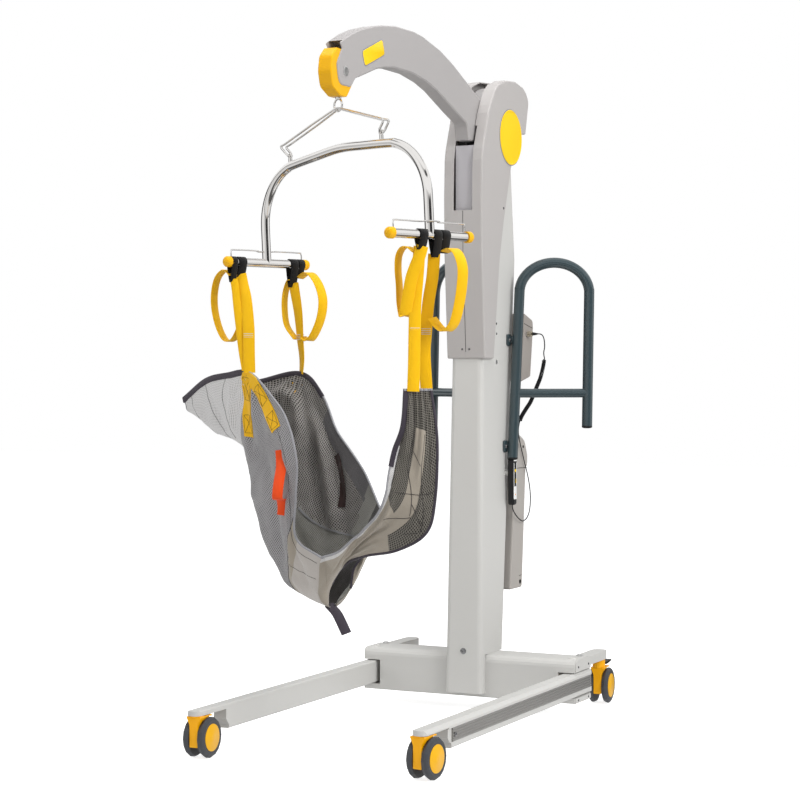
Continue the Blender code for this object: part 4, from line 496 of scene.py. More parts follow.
def plain_cloth(name, colour, darker, sheen=0.4, roughness=0.8):
    """Close-woven nylon: a fine weave with soft creases, darkened along the creases as painted shade."""
    nodes = Nodes(name, colour, roughness, Sheen_Weight=sheen, Specular_IOR_Level=0.25)
    axes = nodes.axes("UV")
    weave = nodes.math("MULTIPLY", nodes.wave(axes["X"], 0.0011), nodes.wave(axes["Y"], 0.0011))
    nodes.bump(weave, 0.0002, 0.5)
    creases = nodes.noise(24.0, 4.0, "UV", (1.0, 0.35, 1.0))
    nodes.bump(creases, 0.0022, 0.35)
    # Darker where the creases' noise is high: painted shade in the creases.
    nodes.tint(nodes.spread(creases, 0.0, 0.55), darker)
    return nodes.material


def webbing(name, colour, darker, rib=0.0017):
    """Woven tape: ribs across its length and slight wear."""
    nodes = Nodes(name, colour, 0.62, Sheen_Weight=0.12, Specular_IOR_Level=0.25)
    axes = nodes.axes("UV")
    weave = nodes.math("MULTIPLY_ADD", nodes.wave(axes["X"], 1.6 * rib), 0.4, nodes.wave(axes["Y"], rib))
    nodes.bump(weave, 0.00022, 0.6)
    nodes.tint(nodes.spread(weave, 0.18, 0.0), darker)
    nodes.tint(nodes.spread(nodes.noise(40.0, 3.0, "UV"), 0.0, 0.35), darker)
    return nodes.material


GREY_PAINT = (0.56, 0.555, 0.535)
SHELL_GREY = (0.435, 0.415, 0.405)
YELLOW = (0.83, 0.43, 0.0)
NET_PITCH = 0.0106
AMBER = (0.96, 0.44, 0.0)
BLACK = (0.01, 0.01, 0.011)

MATERIALS = {
    "paint": painted("pale_grey_paint", GREY_PAINT, 0.42),
    "shell": moulded("warm_grey_shell", SHELL_GREY, 0.46, 0.93),
    "yellow": moulded("yellow_plastic", YELLOW, 0.34, 0.94),
    "amber": moulded("amber_plastic", AMBER, 0.38, 0.92),
    "black": moulded("black_plastic", BLACK, 0.48, 1.6),
    "tyre": rubber(),
    "chrome": polished("chromed_steel", (0.84, 0.822, 0.802), 0.05),
    "screw": polished("screw_steel", (0.26, 0.26, 0.265), 0.24),
    "steel": polished("bright_steel", (0.62, 0.62, 0.61), 0.28),
    "aluminium": polished("fluted_aluminium", (0.36, 0.35, 0.335), 0.4),
    "handle": glossy_tube_paint(),
    "box": moulded("box_plastic", (0.33, 0.3, 0.275), 0.5, 0.92),
    "battery": moulded("battery_plastic", (0.4, 0.375, 0.35), 0.5, 0.93),
    "shutter": moulded("shutter_plastic", (0.48, 0.465, 0.485), 0.42, 0.94),
    "boom": moulded("boom_shell", (0.372, 0.356, 0.352), 0.46, 0.93),
    "yellow_label": moulded("yellow_label", (0.93, 0.6, 0.0), 0.34, 0.97),
    "label_edge": moulded("label_edge", (0.2, 0.225, 0.29), 0.5, 0.9),
    "white": moulded("white_label", (0.8, 0.8, 0.79), 0.35, 0.96),
    "orange": moulded("orange_dot", (0.9, 0.28, 0.02), 0.4, 0.9),
    "dark": moulded("dark_recess", (0.004, 0.004, 0.004), 0.7, 1.2),
    "net": woven("light_sling_net", (0.5, 0.49, 0.498), (0.07, 0.065, 0.068), NET_PITCH, 0.46, 0.3, 0.45),
    "net_pale": woven("pale_head_net", (0.8, 0.79, 0.785), (0.4, 0.39, 0.385), 0.8 * NET_PITCH, 0.5, 0.3,
                      0.2),
    # The inner side's net is the light net darkened: painted shade for the inside of the sling.
    "net_shaded_inside": woven("shaded_inner_net", (0.52, 0.498, 0.475), (0.02, 0.018, 0.016), NET_PITCH, 0.42, 0.2,
                      0.5),
    "net_inner_pale": woven("pale_inner_net", (0.4, 0.395, 0.365), (0.17, 0.165, 0.15), 0.8 * NET_PITCH,
                            0.45),
    "net_leg": woven("leg_sling_net", (0.225, 0.21, 0.183), (0.014, 0.012, 0.01), NET_PITCH, 0.44, 0.2, 0.4),
    "net_band": woven("grey_band_net", (0.23, 0.222, 0.23), (0.06, 0.056, 0.06), 0.5 * NET_PITCH, 0.45),
    "lining": plain_cloth("dark_lining", (0.024, 0.02, 0.018), (0.01, 0.008, 0.007)),
    "taupe": plain_cloth("taupe_nylon", (0.39, 0.345, 0.285), (0.23, 0.2, 0.16)),
    "smooth": plain_cloth("pale_nylon", (0.52, 0.485, 0.45), (0.33, 0.3, 0.275), 0.5, 0.6),
    "binding": webbing("dark_binding", (0.06, 0.05, 0.066), (0.025, 0.021, 0.028), 0.0013),
    "grey_binding": webbing("grey_binding", (0.36, 0.36, 0.38), (0.2, 0.2, 0.215), 0.0013),
    "webbing": webbing("yellow_webbing", (0.94, 0.56, 0.001), (0.7, 0.3, 0.0)),
    "black_webbing": webbing("black_webbing", (0.006, 0.0055, 0.006), (0.003, 0.003, 0.003)),
    "orange_webbing": webbing("orange_webbing", (0.9, 0.085, 0.006), (0.62, 0.04, 0.004)),
    "brown_webbing": webbing("brown_webbing", (0.045, 0.024, 0.022), (0.022, 0.012, 0.011)),
    "thread": moulded("pale_thread", (0.72, 0.68, 0.56), 0.7, 0.8),
    "brown_thread": moulded("brown_thread", (0.11, 0.03, 0.012), 0.7, 0.8),
    "dark_thread": moulded("dark_thread", (0.055, 0.05, 0.048), 0.7, 0.8),
}

# Material keys grouped under the slot names that they share; these tables are built and not used
dict.fromkeys(("yellow", "yellow_label", "label_edge", "orange"), "yellow_plastic")
dict.fromkeys(("black", "dark", "white", "black_webbing"), "black_plastic")
dict.fromkeys(("binding", "grey_binding", "dark_thread"), "sling_cloth")


def both(*names):
    """The left and right node of each name."""
    return [f"{name}_{side}" for name in names for _, side in SIDES]


NODE_FINISHES = {
    "paint": ["cross_beam", "mast", *both("beam_end_plate", "leg")],
    "shell": both("mast_cover"),
    "boom": ["boom"],
    "shutter": ["slot_shutter"],
    "yellow": ["boom_nose", *[name + end for name in both("bar_cap") for end in ("_front", "_rear")]],
    "amber": both("caster_fork_front", "caster_fork_rear"),
    "tyre": both("caster_wheels_front", "caster_wheels_rear"),
    "black": ["actuator_body", "battery_dock", "handset", "handset_key_raise", "handset_key_lower",
              "handset_key_close_legs", "handset_stop_disc", *both("brake_pedal_rear")],
    "yellow_label": ["handset_key_open_legs"],
    "chrome": ["spreader_frame", "swivel_eye", *both("hanger_link", "strap_keeper")],
    "steel": ["boom_pivot_shaft", "boom_nose_pin", "actuator_pin", "actuator_rod", *both("leg_pivot")],
    "aluminium": both("leg_strip"),
    "handle": both("push_handle"),
    "box": ["control_box"],
    "battery": ["battery_pack"],
}


def dress_nodes():
    """Each carried-over CAD node gets its finish."""
    finishes = {name: MATERIALS[finish] for finish, names in NODE_FINISHES.items() for name in names}
    finishes["cord_plug"] = plug_finish(0.0925 + ORIGIN.x)
    for name, material in finishes.items():
        for slot in NODES[name].material_slots:
            slot.material = material


# Mesh helpers
def new_mesh(name, vertices, faces, material, uvs):
    """A smooth mesh object; uvs gives each face's corners their map."""
    mesh = bpy.data.meshes.new(name)
    mesh.from_pydata([tuple(vertex) for vertex in vertices], [], faces)
    layer = mesh.uv_layers.new(name="UVMap")
    for corner, uv in enumerate(uv for face_uvs in uvs for uv in face_uvs):
        layer.data[corner].uv = uv
    mesh.materials.append(material)
    mesh.shade_smooth()
    return put(name, mesh)


def swept(name, rings, material, closed=False, smooth_angle=40):
    """A closed skin over rings of points, mapped in metres round (u) and along (v)."""
    count = len(rings[0])
    centres = [sum(ring, Vector()) / count for ring in rings]
    along = [0.0]
    for before, after in zip(centres, centres[1:] + centres[:1]):
        along.append(along[-1] + (after - before).length)
    around = [0.0]
    for index in range(count):
        around.append(around[-1] + (rings[0][(index + 1) % count] - rings[0][index]).length)
    faces = []
    uvs = []
    for row in range(len(rings) if closed else len(rings) - 1):
        first = row * count
        second = (row + 1) % len(rings) * count
        for column in range(count):
            side = (column + 1) % count
            faces.append((first + column, first + side, second + side, second + column))
            uvs.append(((around[column], along[row]), (around[column + 1], along[row]),
                        (around[column + 1], along[row + 1]), (around[column], along[row + 1])))
    if not closed:
        last = (len(rings) - 1) * count
        faces += [tuple(reversed(range(count))), tuple(range(last, last + count))]
        uvs += [[(0, 0)] * count, [(0, 0)] * count]
    vertices = [point for ring in rings for point in ring]
    piece = new_mesh(name, vertices, faces, MATERIALS[material], uvs)
    bm = bmesh.new()
    bm.from_mesh(piece.data)
    bmesh.ops.recalc_face_normals(bm, faces=bm.faces)
    bm.to_mesh(piece.data)
    bm.free()
    piece.data.set_sharp_from_angle(angle=radians(smooth_angle))
    return piece


def tangents(path, closed=False):
    """The path's direction at each of its points."""
    result = []
    for index in range(len(path)):
        before = path[index - 1] if (index or closed) else path[index]
        after = path[(index + 1) % len(path)] if (index < len(path) - 1 or closed) else path[index]
        result.append((after - before).normalized())
    return result


def ring_path(centre, radius, right, up, count=32):
    """A circle of points about a centre in the plane of two directions."""
    return [centre + radius * (cos(2 * pi * step / count) * right + sin(2 * pi * step / count) * up)
            for step in range(count)]


def wire(name, path, radius, material, sides=6, closed=False):
    """A round wire along a path."""
    directions = tangents(path, closed)
    up = directions[0].orthogonal().normalized()
    rings = []
    for point, direction in zip(path, directions):
        up = (up - direction * up.dot(direction)).normalized()
        rings.append(ring_path(point, radius, up, direction.cross(up), sides))
    return swept(name, rings, material, closed)


def tape(name, path, widths, width, thickness, material):
    """Flat tape along a path: widths gives the direction across it at each point."""
    rings = []
    edge = min(thickness * 0.45, 0.0012)
    half = width / 2
    rise = thickness / 2
    inner = half - edge
    side = rise - edge
    section = ((-half, side), (-inner, rise), (0.0, rise), (inner, rise), (half, side),
               (half, -side), (inner, -rise), (0.0, -rise), (-inner, -rise), (-half, -side))
    for point, direction, across in zip(path, tangents(path), widths):
        across = (across - direction * across.dot(direction)).normalized()
        normal = direction.cross(across)
        rings.append([point + across * a + normal * b for a, b in section])
    return swept(name, rings, material, False, 50)


def turned(name, profile, where, axis, material, steps=40):
    """A solid of revolution from (radius, height) points, about an axis through a place."""
    axis = Vector(axis).normalized()
    side = axis.orthogonal().normalized()
    rings = [ring_path(where + axis * height, max(radius, 0.00005), side, axis.cross(side), steps)
             for radius, height in profile]
    return swept(name, rings, material, False, 35)


def plate(name, outline, origin, right, up, thickness, material, round_edge=0.0002):
    """A flat plate with a softened front edge: outline in its own plane, standing out along right x up."""
    right = Vector(right).normalized()
    up = Vector(up).normalized()
    out = right.cross(up)
    outline = [Vector(point) for point in outline]
    centre = sum(outline, Vector((0, 0))) / len(outline)
    rings = []
    for depth, inset in ((0.0, 0.0), (thickness - round_edge, 0.0),
                         (thickness - 0.3 * round_edge, 0.3 * round_edge),
                         (thickness, round_edge)):
        moved = [point + (centre - point).normalized() * inset for point in outline]
        rings.append([origin + right * point.x + up * point.y + out * depth for point in moved])
    return swept(name, rings, material)


def rounded_outline(half_width, half_height, radius, steps=6):
    """A rounded rectangle's outline about its middle, counter-clockwise."""
    outline = []
    for centre_x, centre_y, start in ((1, 1, 0), (-1, 1, pi / 2), (-1, -1, pi), (1, -1, 3 * pi / 2)):
        for step in range(steps + 1):
            angle = start + pi / 2 * step / steps
            outline.append((centre_x * (half_width - radius) + radius * cos(angle),
                            centre_y * (half_height - radius) + radius * sin(angle)))
    return outline


def screw(name, where, axis, body, radius, head):
    """A button-head screw with a socket in its crown."""
    profile = [(0, -0.0004), (radius, -0.0004), (radius, 0.25 * head), (0.86 * radius, 0.7 * head),
               (0.6 * radius, head), (0.42 * radius, head), (0.38 * radius, 0.35 * head), (0, 0.3 * head)]
    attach(turned(name, profile, where, axis, "screw", 24), body)


def joined(name, pieces):
    """Several meshes as one object, in the first one's material."""
    vertices = []
    faces = []
    uvs = []
    material = pieces[0].data.materials[0]
    for piece in pieces:
        first = len(vertices)
        mesh = piece.data
        vertices += [vertex.co.copy() for vertex in mesh.vertices]
        layer = mesh.uv_layers[0].data
        for polygon in mesh.polygons:
            faces.append([first + index for index in polygon.vertices])
            uvs.append([tuple(layer[index].uv) for index in polygon.loop_indices])
        bpy.data.objects.remove(piece)
    result = new_mesh(name, vertices, faces, material, uvs)
    result.data.set_sharp_from_angle(angle=radians(40))
    return result


# Spreader, links, caps and handles in their smooth forms, on the part's own routes
def spreader_point(along, across, drop):
    """A place on the tilted spreader: along its bars, across from bar to bar, below the ring."""
    return sling_point(along, across * cos(TILT) + drop * sin(TILT),
                       RING_Z + across * sin(TILT) - drop * cos(TILT))


def spreader_path():
    """The bent tube from bar to bar as (across, drop) points."""
    centre = (BAR_ACROSS - BEND_RADIUS, LEG_STRAIGHT_DROP)
    half = [(BAR_ACROSS, BAR_DROP), (BAR_ACROSS, (BAR_DROP + LEG_STRAIGHT_DROP) / 2)]
    for step in range(10):
        angle = radians(82) * step / 9
        half.append((centre[0] + BEND_RADIUS * cos(angle), centre[1] - BEND_RADIUS * sin(angle)))
    half.append((half[-1][0] / 2, (half[-1][1] + CROWN_DROP) / 2 - 0.001))
    return [(-across, drop) for across, drop in half] + [(0, CROWN_DROP)] + list(reversed(half))


def tube_drop(across):
    """The drop of the bent tube's centre line at a distance across."""
    path = spreader_path()
    for (a0, d0), (a1, d1) in zip(path, path[1:]):
        if a0 <= across <= a1 and a1 > a0:
            return d0 + (d1 - d0) * (across - a0) / (a1 - a0)
    return CROWN_DROP


def add_spreader():
    """The bent tube with its two bars and lugs, the wire links, keepers, ring and end caps."""
    add_spreader_tube()
    for (side, name), lug in zip(SIDES, (LEFT_LUG_ACROSS, RIGHT_LUG_ACROSS)):
        add_hanger_link(side, name, lug)
        add_keeper(side, name)
        for end, label in ((-1, "front"), (1, "rear")):
            add_bar_cap(side, end, f"{name}_{label}")
    add_swivel_ring()


def add_spreader_tube():
    """The bent tube, its two bars and the eyes that its links hang from."""
    path = smooth_path([spreader_point(0, *point) for point in spreader_path()], 6)
    pieces = [wire("spreader_bent_tube", path, BAR_RADIUS, "chrome", 32)]
    for side, _ in SIDES:
        ends = [spreader_point(end * BAR_HALF, side * BAR_ACROSS, BAR_DROP) for end in (-1, 1)]
        pieces.append(wire("spreader_bar", ends, BAR_RADIUS - 0.0002, "chrome", 32))
    for lug in (LEFT_LUG_ACROSS, RIGHT_LUG_ACROSS):
        drop = tube_drop(lug)
        stem = [spreader_point(0, lug, drop - 0.006), spreader_point(0, lug, drop - LUG_HEIGHT + 0.006)]
        pieces.append(wire("spreader_lug", stem, 0.005, "chrome", 20))
        eye = ring_path(spreader_point(0, lug, drop - LUG_HEIGHT), 0.0056, sling_direction(0, 1, 0),
                        Vector(UP))
        pieces.append(wire("spreader_eye", eye, 0.0022, "chrome", 12, True))
    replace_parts(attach(joined("spreader_tube", pieces), "spreader"), "spreader_frame")


def add_hanger_link(side, name, lug):
    """The closed wire link from the swivel's ring down to a lug's eye."""
    clear = RING_RADIUS - RING_WIRE - LINK_WIRE - CLEARANCE
    top_across = side * (LINK_WIRE + 0.0004)
    top = sling_point(0, top_across, RING_Z - sqrt(clear ** 2 - top_across ** 2))
    drop = tube_drop(lug) - LUG_HEIGHT
    end = spreader_point(0, lug, drop)
    bend = spreader_point(0, lug * 1.12, drop - 0.026)
    run = smooth_path([top, top.lerp(bend, 0.5), top.lerp(bend, 0.9), bend, end.lerp(bend, 0.4), end], 8)
    sides = []
    for sign in (1, -1):
        line = []
        for index, point in enumerate(run):
            from_end = min(index, len(run) - 1 - index) / 6
            apart = sign * LINK_SPACING * min(1.0, 0.6 + 0.4 * from_end)
            line.append(point + sling_direction(1, 0, 0) * apart)
        sides.append(line)
    loop = wire("hanger_wire_" + name, sides[0] + list(reversed(sides[1])), LINK_WIRE, "chrome", 14, True)
    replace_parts(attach(loop, "spreader"), "hanger_link_" + name)


def add_keeper(side, name):
    """The bent wire that keeps the sling's loops on a bar."""
    foot = BAR_HALF - CAP_LENGTH - KEEPER_WIRE - CLEARANCE
    at = side * BAR_ACROSS
    seat = BAR_DROP - BAR_RADIUS - KEEPER_WIRE - CLEARANCE
    beside = at + side * (BAR_RADIUS + KEEPER_WIRE + 0.001)
    high = BAR_DROP - KEEPER_RISE
    half = [(foot, at, seat), (foot, at, high + 0.008), (foot - 0.002, at, high + 0.002),
            (foot - 0.008, at, high),
            (0.03, at, high), (0.018, beside, high)]
    route = [(-along, across, drop) for along, across, drop in half] + half[::-1]
    path = smooth_path([spreader_point(*point) for point in route], 5)
    keeper = wire("keeper_wire_" + name, path, KEEPER_WIRE, "chrome", 12)
    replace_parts(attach(keeper, "spreader"), "strap_keeper_" + name)


def add_bar_cap(side, end, label):
    """The domed cap on one end of a bar."""
    dome = [(CAP_RADIUS * cos(radians(angle)), 0.01 * sin(radians(angle))) for angle in range(88, -1, -8)]
    profile = [(BAR_RADIUS, -CAP_LENGTH), (CAP_RADIUS, -CAP_LENGTH), *dome[::-1]]
    where = spreader_point(end * (BAR_HALF + CLEARANCE), side * BAR_ACROSS, BAR_DROP)
    cap = turned("cap_dome_" + label, profile, where, sling_direction(1, 0, 0) * end, "yellow", 36)
    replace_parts(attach(cap, "spreader"), "bar_cap_" + label)


def add_swivel_ring():
    """The ring below the boom's nose and the shank that holds it."""
    middle = sling_point(0, 0, RING_Z)
    circle = ring_path(middle, RING_RADIUS, sling_direction(0, 1, 0), Vector(UP), 48)
    ring = wire("swivel_ring_wire", circle, RING_WIRE, "chrome", 14, True)
    bottom = NOSE_BOTTOM - RING_Z
    profile = [(0.0042, RING_RADIUS - 0.001), (0.006, bottom - 0.006), (0.0075, bottom - 0.0035),
               (0.0075, bottom - 0.0006), (0.0055, bottom - 0.0004), (0.0055, bottom + 0.016)]
    shank = turned("swivel_shank", profile, middle, UP, "chrome", 32)
    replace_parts(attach(joined("swivel_ring", [ring, shank]), "spreader"), "swivel_eye")


def handle_inner_y(z):
    """The y of a handle's mast-side tube at a height."""
    return MAST_REAR_FOOT + MAST_REAR_SLOPE * (z - MAST_FOOT) - HANDLE_SETBACK


def handle_outer_y(z):
    """The y of a handle's outer tube at a height."""
    return 0.29 + 0.042 * (z - HANDLE_OUTER_LOW)


def add_push_handles():
    """Each push handle: its bent tube, cross grip and two clamp stubs, all round and smooth."""
    arch = (HANDLE_OUTER_X - HANDLE_X) / 2
    arch_z = HANDLE_TOP - arch
    middle = (HANDLE_OUTER_X + HANDLE_X) / 2
    for side, name in SIDES:
        path = []
        for step in range(4):
            z = HANDLE_INNER_LOW + (arch_z - HANDLE_INNER_LOW) * step / 4
            path.append(place(side * HANDLE_X, handle_inner_y(z), z))
        for step in range(25):
            angle = pi * step / 24
            share = (1 - cos(angle)) / 2
            y = handle_inner_y(arch_z) * (1 - share) + handle_outer_y(arch_z) * share
            path.append(place(side * (middle - arch * cos(angle)), y, arch_z + arch * sin(angle)))
        for step in range(1, 4):
            z = arch_z + (HANDLE_OUTER_LOW - arch_z) * step / 3
            path.append(place(side * HANDLE_OUTER_X, handle_outer_y(z), z))
        pieces = [wire("handle_tube_" + name, smooth_path(path, 4), HANDLE_RADIUS, "handle", 32)]
        grip = [place(side * HANDLE_X, handle_inner_y(HANDLE_GRIP_Z), HANDLE_GRIP_Z),
                place(side * HANDLE_OUTER_X, handle_outer_y(HANDLE_GRIP_Z), HANDLE_GRIP_Z)]
        pieces.append(wire("handle_grip_" + name, grip, GRIP_RADIUS, "handle", 28))
        for z in HANDLE_CLAMPS:
            seat = side * (mast_half(z) + CLEARANCE)
            stub = [place(seat, handle_inner_y(z), z), place(side * HANDLE_X, handle_inner_y(z), z)]
            pieces.append(wire(f"handle_stub_{name}_{z}", stub, CLAMP_RADIUS, "handle", 24))
        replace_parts(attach(joined("handle_bow_" + name, pieces), "base"), "push_handle_" + name)


def add_cover_seam():
    """The dark joint line down the front where the two mast covers meet."""
    cover = NODES["mast_cover_right"]
    bpy.context.view_layer.update()
    inverse = cover.matrix_world.inverted()
    route = []
    for step in range(80):
        z = 0.982 + 0.006 * step
        start = inverse @ place(0.0012, -1.2, z)
        found, hit, _, _ = cover.ray_cast(start, inverse.to_3x3() @ Vector((0, 1, 0)))
        if not found or (route and (cover.matrix_world @ hit).y > route[-1].y + 0.006):
            break
        route.append((cover.matrix_world @ hit) + Vector((-0.0012, 0.0001, 0)))
    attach(wire("cover_front_seam", route, 0.0007, "dark", 6), "base")


# Cord
def curly_path():
    """A helix round the curly stretch's smooth centre line, straight for a little at its ends."""
    centre = evenly(smooth_path(CORD_CURLY, 24), 0.0005)
    count = CURL_TURNS * CURL_POINTS
    path = [centre[0], centre[6]]
    first = 7
    last = len(centre) - 8
    for step in range(count + 1):
        position = first + (last - first) * step / count
        index = min(int(position), len(centre) - 2)
        middle = centre[index].lerp(centre[index + 1], position - index)
        tangent = (centre[index + 1] - centre[index]).normalized()
        side = tangent.cross(Vector((0, 1, 0))).normalized()
        other = tangent.cross(side)
        ramp = min(1.0, min(step, count - step) / CURL_POINTS)
        angle = 2 * pi * step / CURL_POINTS
        path.append(middle + CURL_RADIUS * ramp * (cos(angle) * side + sin(angle) * other))
    return path + [centre[-7], centre[-1]]


def add_cord():
    """The handset's cord as one curve: a lead from the plug, the curls, and a tail to the handset."""
    lead = evenly(smooth_path(CORD_LEAD, 8), 0.004)
    tail = evenly(smooth_path(CORD_TAIL, 8), 0.004)
    path = [point + ORIGIN for point in lead + curly_path()[1:] + tail[1:]]
    curve = bpy.data.curves.new("handset_cord", "CURVE")
    curve.dimensions = "3D"
    curve.bevel_depth = CORD_RADIUS
    curve.bevel_resolution = 2
    curve.use_fill_caps = True
    spline = curve.splines.new("POLY")
    spline.points.add(len(path) - 1)
    for point, where in zip(spline.points, path):
        point.co = (*where, 1)
    spline.use_smooth = True
    curve.materials.append(MATERIALS["black"])
    cord = put("handset_cord", curve)
    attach(cord, "base")
    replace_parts(cord, "cord_lead", "cord_curls", "cord_tail")


# Sling
def sling_point(along, across, height):
    """A place from its distances along the bars and across from the swivel, and its height."""
    x = along * sin(HEADING) + across * cos(HEADING)
    y = NOSE_Y + along * cos(HEADING) - across * sin(HEADING)
    return place(x, y, height)


def sling_direction(along, across, height):
    return sling_point(along, across, height) - sling_point(0, 0, 0)


def bar_point(along, side, rise=0.0, out=0.0):
    """A place by a bar's middle line: side -1 is the left bar, 1 the right one."""
    across = side * BAR_ACROSS + out
    drop = BAR_DROP - rise
    turned_across = across * cos(TILT) + drop * sin(TILT)
    return Vector((along, turned_across, RING_Z + across * sin(TILT) - drop * cos(TILT)))


def soft_noise(point, scale, seed=0.0):
    """Smooth noise between about -1 and 1 over space."""
    return noise.noise(Vector(point) * scale + Vector((seed, 2.3 * seed, 0.7 * seed)))


def trough(low, edge, share):
    """A point of the sling's cross section, from its keel at share 0 up to one rim at share 1."""
    outward = sin(share * pi / 2)
    climb = 1 - cos(share * pi / 2) ** 1.3 if share < 1 else 1.0
    fold = 0.006 * sin(3.5 * pi * share) * (1 - share)
    return Vector((low.x + (edge.x - low.x) * outward, low.y + (edge.y - low.y) * climb + fold,
                   low.z + (edge.z - low.z) * climb))


def sling_grid():
    """The body's base surface as rows of (along, across, height), from the near rim to the far one."""
    half = SLING_COLUMNS // 2
    keel, near, far = [smooth_path(line, SLING_STEPS) for line in (SLING_KEEL, SLING_NEAR_RIM, SLING_FAR_RIM)]
    rows = []
    for low, near_edge, far_edge in zip(keel, near, far):
        row = [trough(low, near_edge, 1 - column / half) for column in range(half)]
        rows.append(row + [trough(low, far_edge, column / half) for column in range(half + 1)])
    return rows


def flap_grid(flap):
    """One thigh flap's base surface as rows from its outer edge to its inner one."""
    inner, outer = [smooth_path(line, SLING_STEPS) for line in zip(*flap)]
    half = SLING_COLUMNS // 2
    shares = [column / (half - 1) for column in range(half)]
    return [[edge.lerp(low, share) for share in shares] for low, edge in zip(inner, outer)]


def grid_normal(rows, row, column):
    """The surface's direction at a grid point, from its neighbours."""
    up = rows[min(row + 1, len(rows) - 1)][column] - rows[max(row - 1, 0)][column]
    side = rows[row][min(column + 1, len(rows[row]) - 1)] - rows[row][max(column - 1, 0)]
    normal = up.cross(side)
    return normal.normalized() if normal.length > 1e-9 else Vector((1, 0, 0))


def strap_creases(point, foot, strength):
    """Creases that fan out from where a strap pulls on the cloth."""
    away = Vector((point.y - foot[1], point.z - foot[2]))
    distance = away.length
    angle = atan2(away.y, away.x)
    wobble = 1.3 * soft_noise(point, 9.0, 4.0)
    reach = min(1.0, distance / 0.03) * max(0.0, 1 - distance / 0.34) ** 1.2
    return strength * reach * sin(13 * angle + wobble)


NEAR_FOLDS = ((((44, 19), (56, 15), (72, 15), (90, 20)), -0.0128, 2.6), (((40, 9), (56, 6), (76, 5), (92, 8)),
    0.0075, 2.0), (((50, 27), (65, 24), (82, 25), (97, 30)), 0.0112, 2.6), (((60, 32), (76, 31), (92, 33)),
    -0.0083, 2.2), (((88, 4), (95, 12), (99, 24)), 0.0075, 1.6), (((93, 3), (101, 10), (104, 22)), -0.006,
    1.4), (((4, 8), (8, 18), (12, 30)), 0.0067, 1.8), (((14, 4), (17, 14), (22, 28)), -0.0067, 1.8),
    (((26, 4), (27, 14), (30, 26)), 0.0075, 1.8), (((33, 6), (39, 14), (50, 22)), -0.009, 1.8))
FAR_FOLDS = ((((50, 60), (61, 58), (71, 56), (84, 53)), 0.0187, 1.5), (((52, 62), (64, 61), (76, 59),
    (88, 56)), -0.0125, 1.8), (((22, 60), (34, 56), (48, 52), (62, 49)), 0.0163, 1.7), (((26, 64), (38, 61),
    (50, 57)), -0.0125, 1.7), (((40, 66), (54, 66), (70, 64), (86, 60)), 0.0075, 1.6), (((60, 45), (76, 46),
    (92, 48)), 0.0112, 1.8), (((30, 50), (46, 46), (60, 42)), -0.01, 2.0), (((82, 62), (92, 58), (100, 50)),
    0.0075, 1.6))
FLAP_FOLDS = ((((96, 6), (84, 7), (70, 8)), 0.006, 1.3), (((96, 13), (84, 13), (72, 13)), -0.0054, 1.2),
    (((96, 20), (84, 20), (70, 20)), 0.006, 1.3), (((96, 27), (84, 27), (72, 27)), -0.0054, 1.2), (((74, 24),
    (60, 26), (46, 28)), 0.0048, 1.6), (((60, 6), (46, 10), (30, 14), (14, 20)), 0.0072, 1.8), (((50, 16),
    (36, 18), (20, 24)), -0.0072, 1.8), (((44, 26), (30, 28), (16, 30)), 0.006, 1.6), (((30, 6), (18, 10),
    (6, 18)), -0.0054, 1.6))


def folds(row, column, lines):
    """The height of drawn folds at a grid place: each is a smooth ridge or hollow along a line."""
    height = 0.0
    here = Vector((row, column))
    for route, depth, width in lines:
        nearest = 9.0 * width
        for start, end in zip(route, route[1:]):
            start = Vector(start)
            span = Vector(end) - start
            share = min(1.0, max(0.0, (here - start).dot(span) / span.length_squared))
            nearest = min(nearest, (here - start - share * span).length)
        ends = min((here - Vector(route[0])).length, (here - Vector(route[-1])).length)
        height += depth * exp(-(nearest / width) ** 2) * min(1.0, ends / 7.0)
    return height


def body_relief(point, row, column):
    """How far the cloth stands off its base surface: strap creases, hanging folds and crumples."""
    row_share = row / (SLING_STEPS * (len(SLING_KEEL) - 1))
    across_share = column / (SLING_COLUMNS / 2) - 1
    near_side = across_share < 0
    foot = SLING_NEAR_RIM[3] if near_side else SLING_FAR_RIM[3]
    rim = 1 - abs(across_share) ** 8
    keel = min(1.0, 0.15 + 3.0 * abs(across_share))
    relief = strap_creases(point, foot, 0.0036)
    seat = max(0.0, (row_share - 0.68) / 0.32)
    relief += 0.004 * seat * sin(26 * row_share + 5 * across_share + 2.2 * soft_noise(point, 7.0, 2.0))
    relief += 0.0042 * soft_noise(point, 15.0, 1.0) + 0.0018 * soft_noise(point, 42.0, 3.0)
    relief += folds(row + 1.5 * soft_noise(point, 9.0, 4.0), column + 2.0 * soft_noise(point, 8.0, 5.0),
                    NEAR_FOLDS if near_side else FAR_FOLDS)
    return relief * (0.2 + 0.8 * rim) * keel


def flap_relief(point, row, column, seed):
    """Folds along a thigh flap: gathered under its strap, creased where it leaves the seat."""
    row_share = row / (SLING_STEPS * (len(NEAR_FLAP) - 1))
    across_share = column / (SLING_COLUMNS / 2 - 1)
    gather = max(0.0, (row_share - 0.76) / 0.24)
    relief = 0.0024 * gather * sin(2 * pi * 5.5 * across_share + soft_noise(point, 12.0, seed))
    root = max(0.0, (0.45 - row_share) / 0.45)
    relief += 0.0058 * root * sin(30 * row_share - 4 * across_share + 2.5 * soft_noise(point, 9.0, seed + 2))
    relief += 0.0036 * soft_noise(point, 17.0, seed + 1) + 0.0016 * soft_noise(point, 46.0, seed)
    relief += folds(row + 1.5 * soft_noise(point, 9.0, seed), column + soft_noise(point, 8.0, seed + 3),
                    FLAP_FOLDS)
    return relief * (0.3 + 0.7 * (1 - abs(2 * across_share - 1) ** 6))
